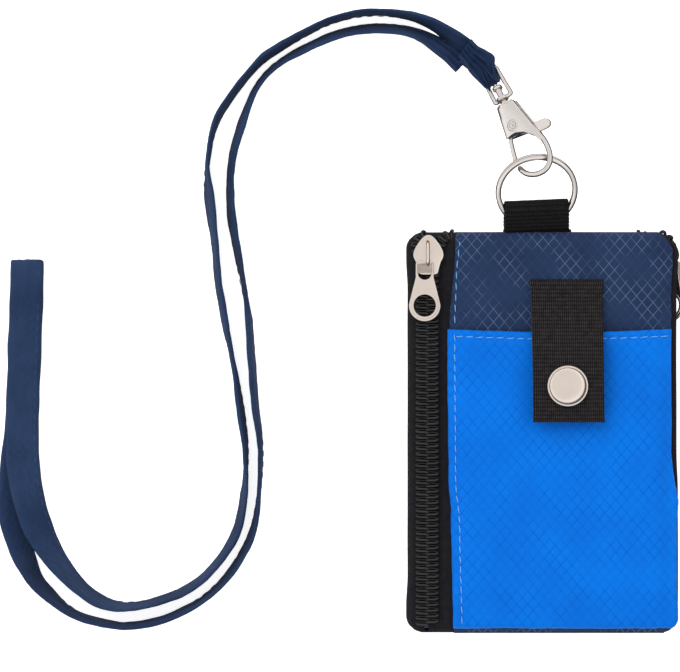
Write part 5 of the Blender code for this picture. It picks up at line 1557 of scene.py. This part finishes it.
EYE_PATH = ((-2.2, 9.05), (0, 9.05), (2.9, 9.05), (3.3, 9.3), (3.35, 10.0), (3.0, 14), (2.65, 18.0),
            (2.5, 18.8), (1.9, 19.15), (0, 19.15), (-2.0, 19.15), (-2.6, 18.8), (-2.75, 18.0), (-2.7, 14),
            (-2.65, 10.0), (-2.6, 9.35))
eye_line = smooth_points([(x, y, 0) for x, y in EYE_PATH + EYE_PATH[:1]], 6)[:-1]
eye = tube(eye_line, 0.66, 16, closed=True)
BOSS_SIDE = ((1.05, 8.35), (1.6, 8.4), (1.85, 8.6), (1.9, 9.0), (1.85, 9.5), (1.6, 9.72), (1.05, 9.75),
             (1.05, 8.35))
boss = spun(BOSS_SIDE, 40)
bmesh.ops.transform(boss, matrix=Matrix.Rotation(-math.pi / 2, 4, "X"), verts=boss.verts)
join(eye, boss)
set_metal("eye_wire", eye, SNAP, NICKEL, "eye", ["clasp_eye"])

# %% [markdown]
# The slider is a domed plate over a flat one, with a bent bar on top for its bridge. The pull is stamped:
# a flat curve with holes, filled and bevelled, gives its plate soft edges in one step. The curve is turned
# into a mesh before it is put in its place.

# %% Zip sliders and pulls


def ring_of(centre, radius, start, end, steps):
    turns = [math.radians(start + (end - start) * i / steps) for i in range(steps + 1)]
    return [(centre[0] + radius * math.cos(t), centre[1] + radius * math.sin(t)) for t in turns]


def stamped(outlines, thickness, rounding):
    """A plate in millimetres round z = 0, as a bmesh."""
    curve = bpy.data.curves.new("stamp", "CURVE")
    curve.dimensions = "2D"
    curve.fill_mode = "BOTH"
    curve.extrude = thickness / 2 - rounding
    curve.bevel_depth = rounding
    curve.bevel_resolution = 3
    curve.offset = -rounding
    for outline in outlines:
        line = curve.splines.new("POLY")
        line.points.add(len(outline) - 1)
        for point, (x, y) in zip(line.points, outline):
            point.co = (x, y, 0, 1)
        line.use_cyclic_u = True
    holder = bpy.data.objects.new("stamp", curve)
    bpy.context.scene.collection.objects.link(holder)
    mesh = bpy.data.meshes.new_from_object(holder.evaluated_get(bpy.context.evaluated_depsgraph_get()))
    bpy.data.objects.remove(holder)
    form = bmesh.new()
    form.from_mesh(mesh)
    bpy.data.meshes.remove(mesh)
    bmesh.ops.remove_doubles(form, verts=form.verts, dist=0.001)
    bmesh.ops.recalc_face_normals(form, faces=form.faces)
    return form


def domed_plate(outline, rings):
    """A closed plate from rings of (share of the outline, height) about the outline's middle."""
    middle = (min(y for x, y in outline) + max(y for x, y in outline)) / 2

    def lay(u, v):
        x, y = outline[round(u * len(outline)) % len(outline)]
        share, height = rings[round(v * (len(rings) - 1))]
        return Vector((x * share, middle + (y - middle) * share, height)), (x, y)

    return strip(len(outline), len(rings) - 1, lay, closed=True)


LEAF = ((0, 59.35), (1.0, 59.05), (2.2, 57.95), (3.4, 56.3), (4.2, 54.8), (4.55, 53.4), (4.35, 52.3),
        (3.75, 51.1), (3.25, 49.4), (2.95, 48.1), (2.6, 47.6), (1.8, 47.35), (0, 47.3))
FLOOR_LEAF = tuple((x * 0.92, y) for x, y in LEAF)
BRIDGE = ((50.0, 3.2), (50.3, 4.6), (51.6, 5.6), (53.6, 5.75), (55.6, 5.2), (56.9, 4.2), (57.3, 3.2))


def mirror_line(half, steps=5):
    """A closed outline from its right half, smoothed."""
    right = [(p.x, p.y) for p in smooth_points([(x, y, 0) for x, y in half], steps)]
    return right + [(-x, y) for x, y in reversed(right[1:-1])]


TOP_RINGS = ((0, 2.42), (0.93, 2.42), (1.0, 2.55), (1.0, 2.9), (0.985, 3.06), (0.95, 3.15), (0.86, 3.24),
             (0.6, 3.5), (0.3, 3.72), (0, 3.82))
FLOOR_RINGS = ((0, -1.65), (0.86, -1.65), (0.97, -1.55), (1.0, -1.3), (0.98, -0.85), (0, -0.85))
LEVEL = Matrix.Translation((0.55, 0, 0)) @ Matrix.Rotation(math.radians(12), 4, "Y")


def make_slider(name, axes, body, node):
    form = domed_plate(mirror_line(LEAF), TOP_RINGS)
    join(form, domed_plate(mirror_line(FLOOR_LEAF), FLOOR_RINGS))
    bar = smooth_points([(-0.15, y, z) for y, z in BRIDGE], 6)
    join(form, tube(bar, 0.62, 14))
    return set_metal(name, form, axes, WARM_NICKEL, body, [node])


def make_pull(name, axes, body, node):
    top = 0.8
    hole = (0, top - 18.3 + 4.8)
    outline = ring_of(hole, 4.8, 176, 364, 28) + [(2.75, -4.2)]
    outline += ring_of((1.55, top - 1.2), 1.2, 0, 90, 6) + ring_of((-1.55, top - 1.2), 1.2, 90, 180, 6)
    outline += [(-2.75, -4.2)]
    window = [(2.0, -0.1), (-2.0, -0.1)] + ring_of((0, -2.9), 2.0, 180, 360, 12)
    form = stamped([outline, window, ring_of(hole, 3.55, 0, 350, 35)], 1.0, 0.3)
    lip = stamped([ring_of(hole, 4.1, 0, 350, 35), ring_of(hole, 3.3, 0, 350, 35)], 1.3, 0.2)
    join(form, lip)
    hang = Matrix.Translation((-1.1, 50.75, 4.4)) @ Matrix.Rotation(math.radians(4.5), 4, "X")
    bmesh.ops.transform(form, matrix=hang, verts=form.verts)
    return set_metal(name, form, axes, WARM_NICKEL, body, [node])


level = FROM_MM @ LEVEL @ FROM_MM.inverted()
for side, axes in (("front", FRONT_ZIP @ level), ("back", BACK_ZIP)):
    make_slider(f"{side}_zip_slider", axes, f"{side}_slider", f"{side}_slider")
    make_pull(f"{side}_zip_pull", axes, f"{side}_pull", f"{side}_pull")

# %% [markdown]
# The split ring is one flat wire wound nearly twice round, so that it steps over itself once. The snap's
# cap is a shallow dome, spun from its profile.

# %% Split ring and cap


def lay_ring(u, v):
    turn = 679 * v
    angle = math.radians(255 + turn)
    height = RING_STEP * (ease((turn - 322) / 35) - 0.5)
    round_way = 2 * math.pi * u
    side = math.copysign(abs(math.cos(round_way)) ** 0.7, math.cos(round_way)) * 0.80
    rise = math.copysign(abs(math.sin(round_way)) ** 0.8, math.sin(round_way)) * 0.47
    radius = RING_RADIUS - 0.825 + side
    return RING @ (Vector((radius * math.cos(angle), radius * math.sin(angle), height + rise)) * MM), (0, 0)


ring_form = strip(16, 300, lay_ring, closed=True)
place_piece("ring_wire", ring_form, NICKEL, "ring", ["split_ring"], 0)


cap_low, cap_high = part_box("snap_cap")
cap_top = cap_high[2] / MM
rim = cap_top - 1.5
cap_profile = [(0, cap_top)]
for degrees in (84, 78, 70, 60, 50, 40, 30, 20, 12, 6):
    turn = math.radians(degrees)
    cap_profile.append((5.55 * math.cos(turn), rim + 1.5 * math.sin(turn)))
cap_profile += [(5.75, rim - 0.02), (6.05, rim + 0.02), (6.2, rim - 0.15), (6.18, rim - 0.45)]
cap_profile += [(5.9, rim - 0.7), (1.5, rim - 0.7), (1.5, cap_low[2] / MM), (0, cap_low[2] / MM)]
cap_form = spun(cap_profile)
cap_place = Matrix.Translation(((cap_low[0] + cap_high[0]) / 2, (cap_low[1] + cap_high[1]) / 2, 0))
bmesh.ops.transform(cap_form, matrix=cap_place @ FROM_MM, verts=cap_form.verts)
place_piece("snap_dome", cap_form, WARM_NICKEL, "snap_tab", ["snap_cap"], 50)

# %% [markdown]
# The spring and the snap's inner parts keep their solids and get the nickel finish. The divider keeps its
# solid too, and gets the finish of the lining.

# %% Finish of the kept solids
KEPT = ("gate_spring", "snap_socket", "snap_stud", "snap_stud_back")
for name in KEPT:
    for holder in frame["nodes"][name].material_slots:
        holder.link = "OBJECT"
        holder.material = NICKEL
for holder in frame["nodes"]["divider"].material_slots:
    holder.link = "OBJECT"
    holder.material = LINING
print("kept solids:", len(KEPT) + 1)
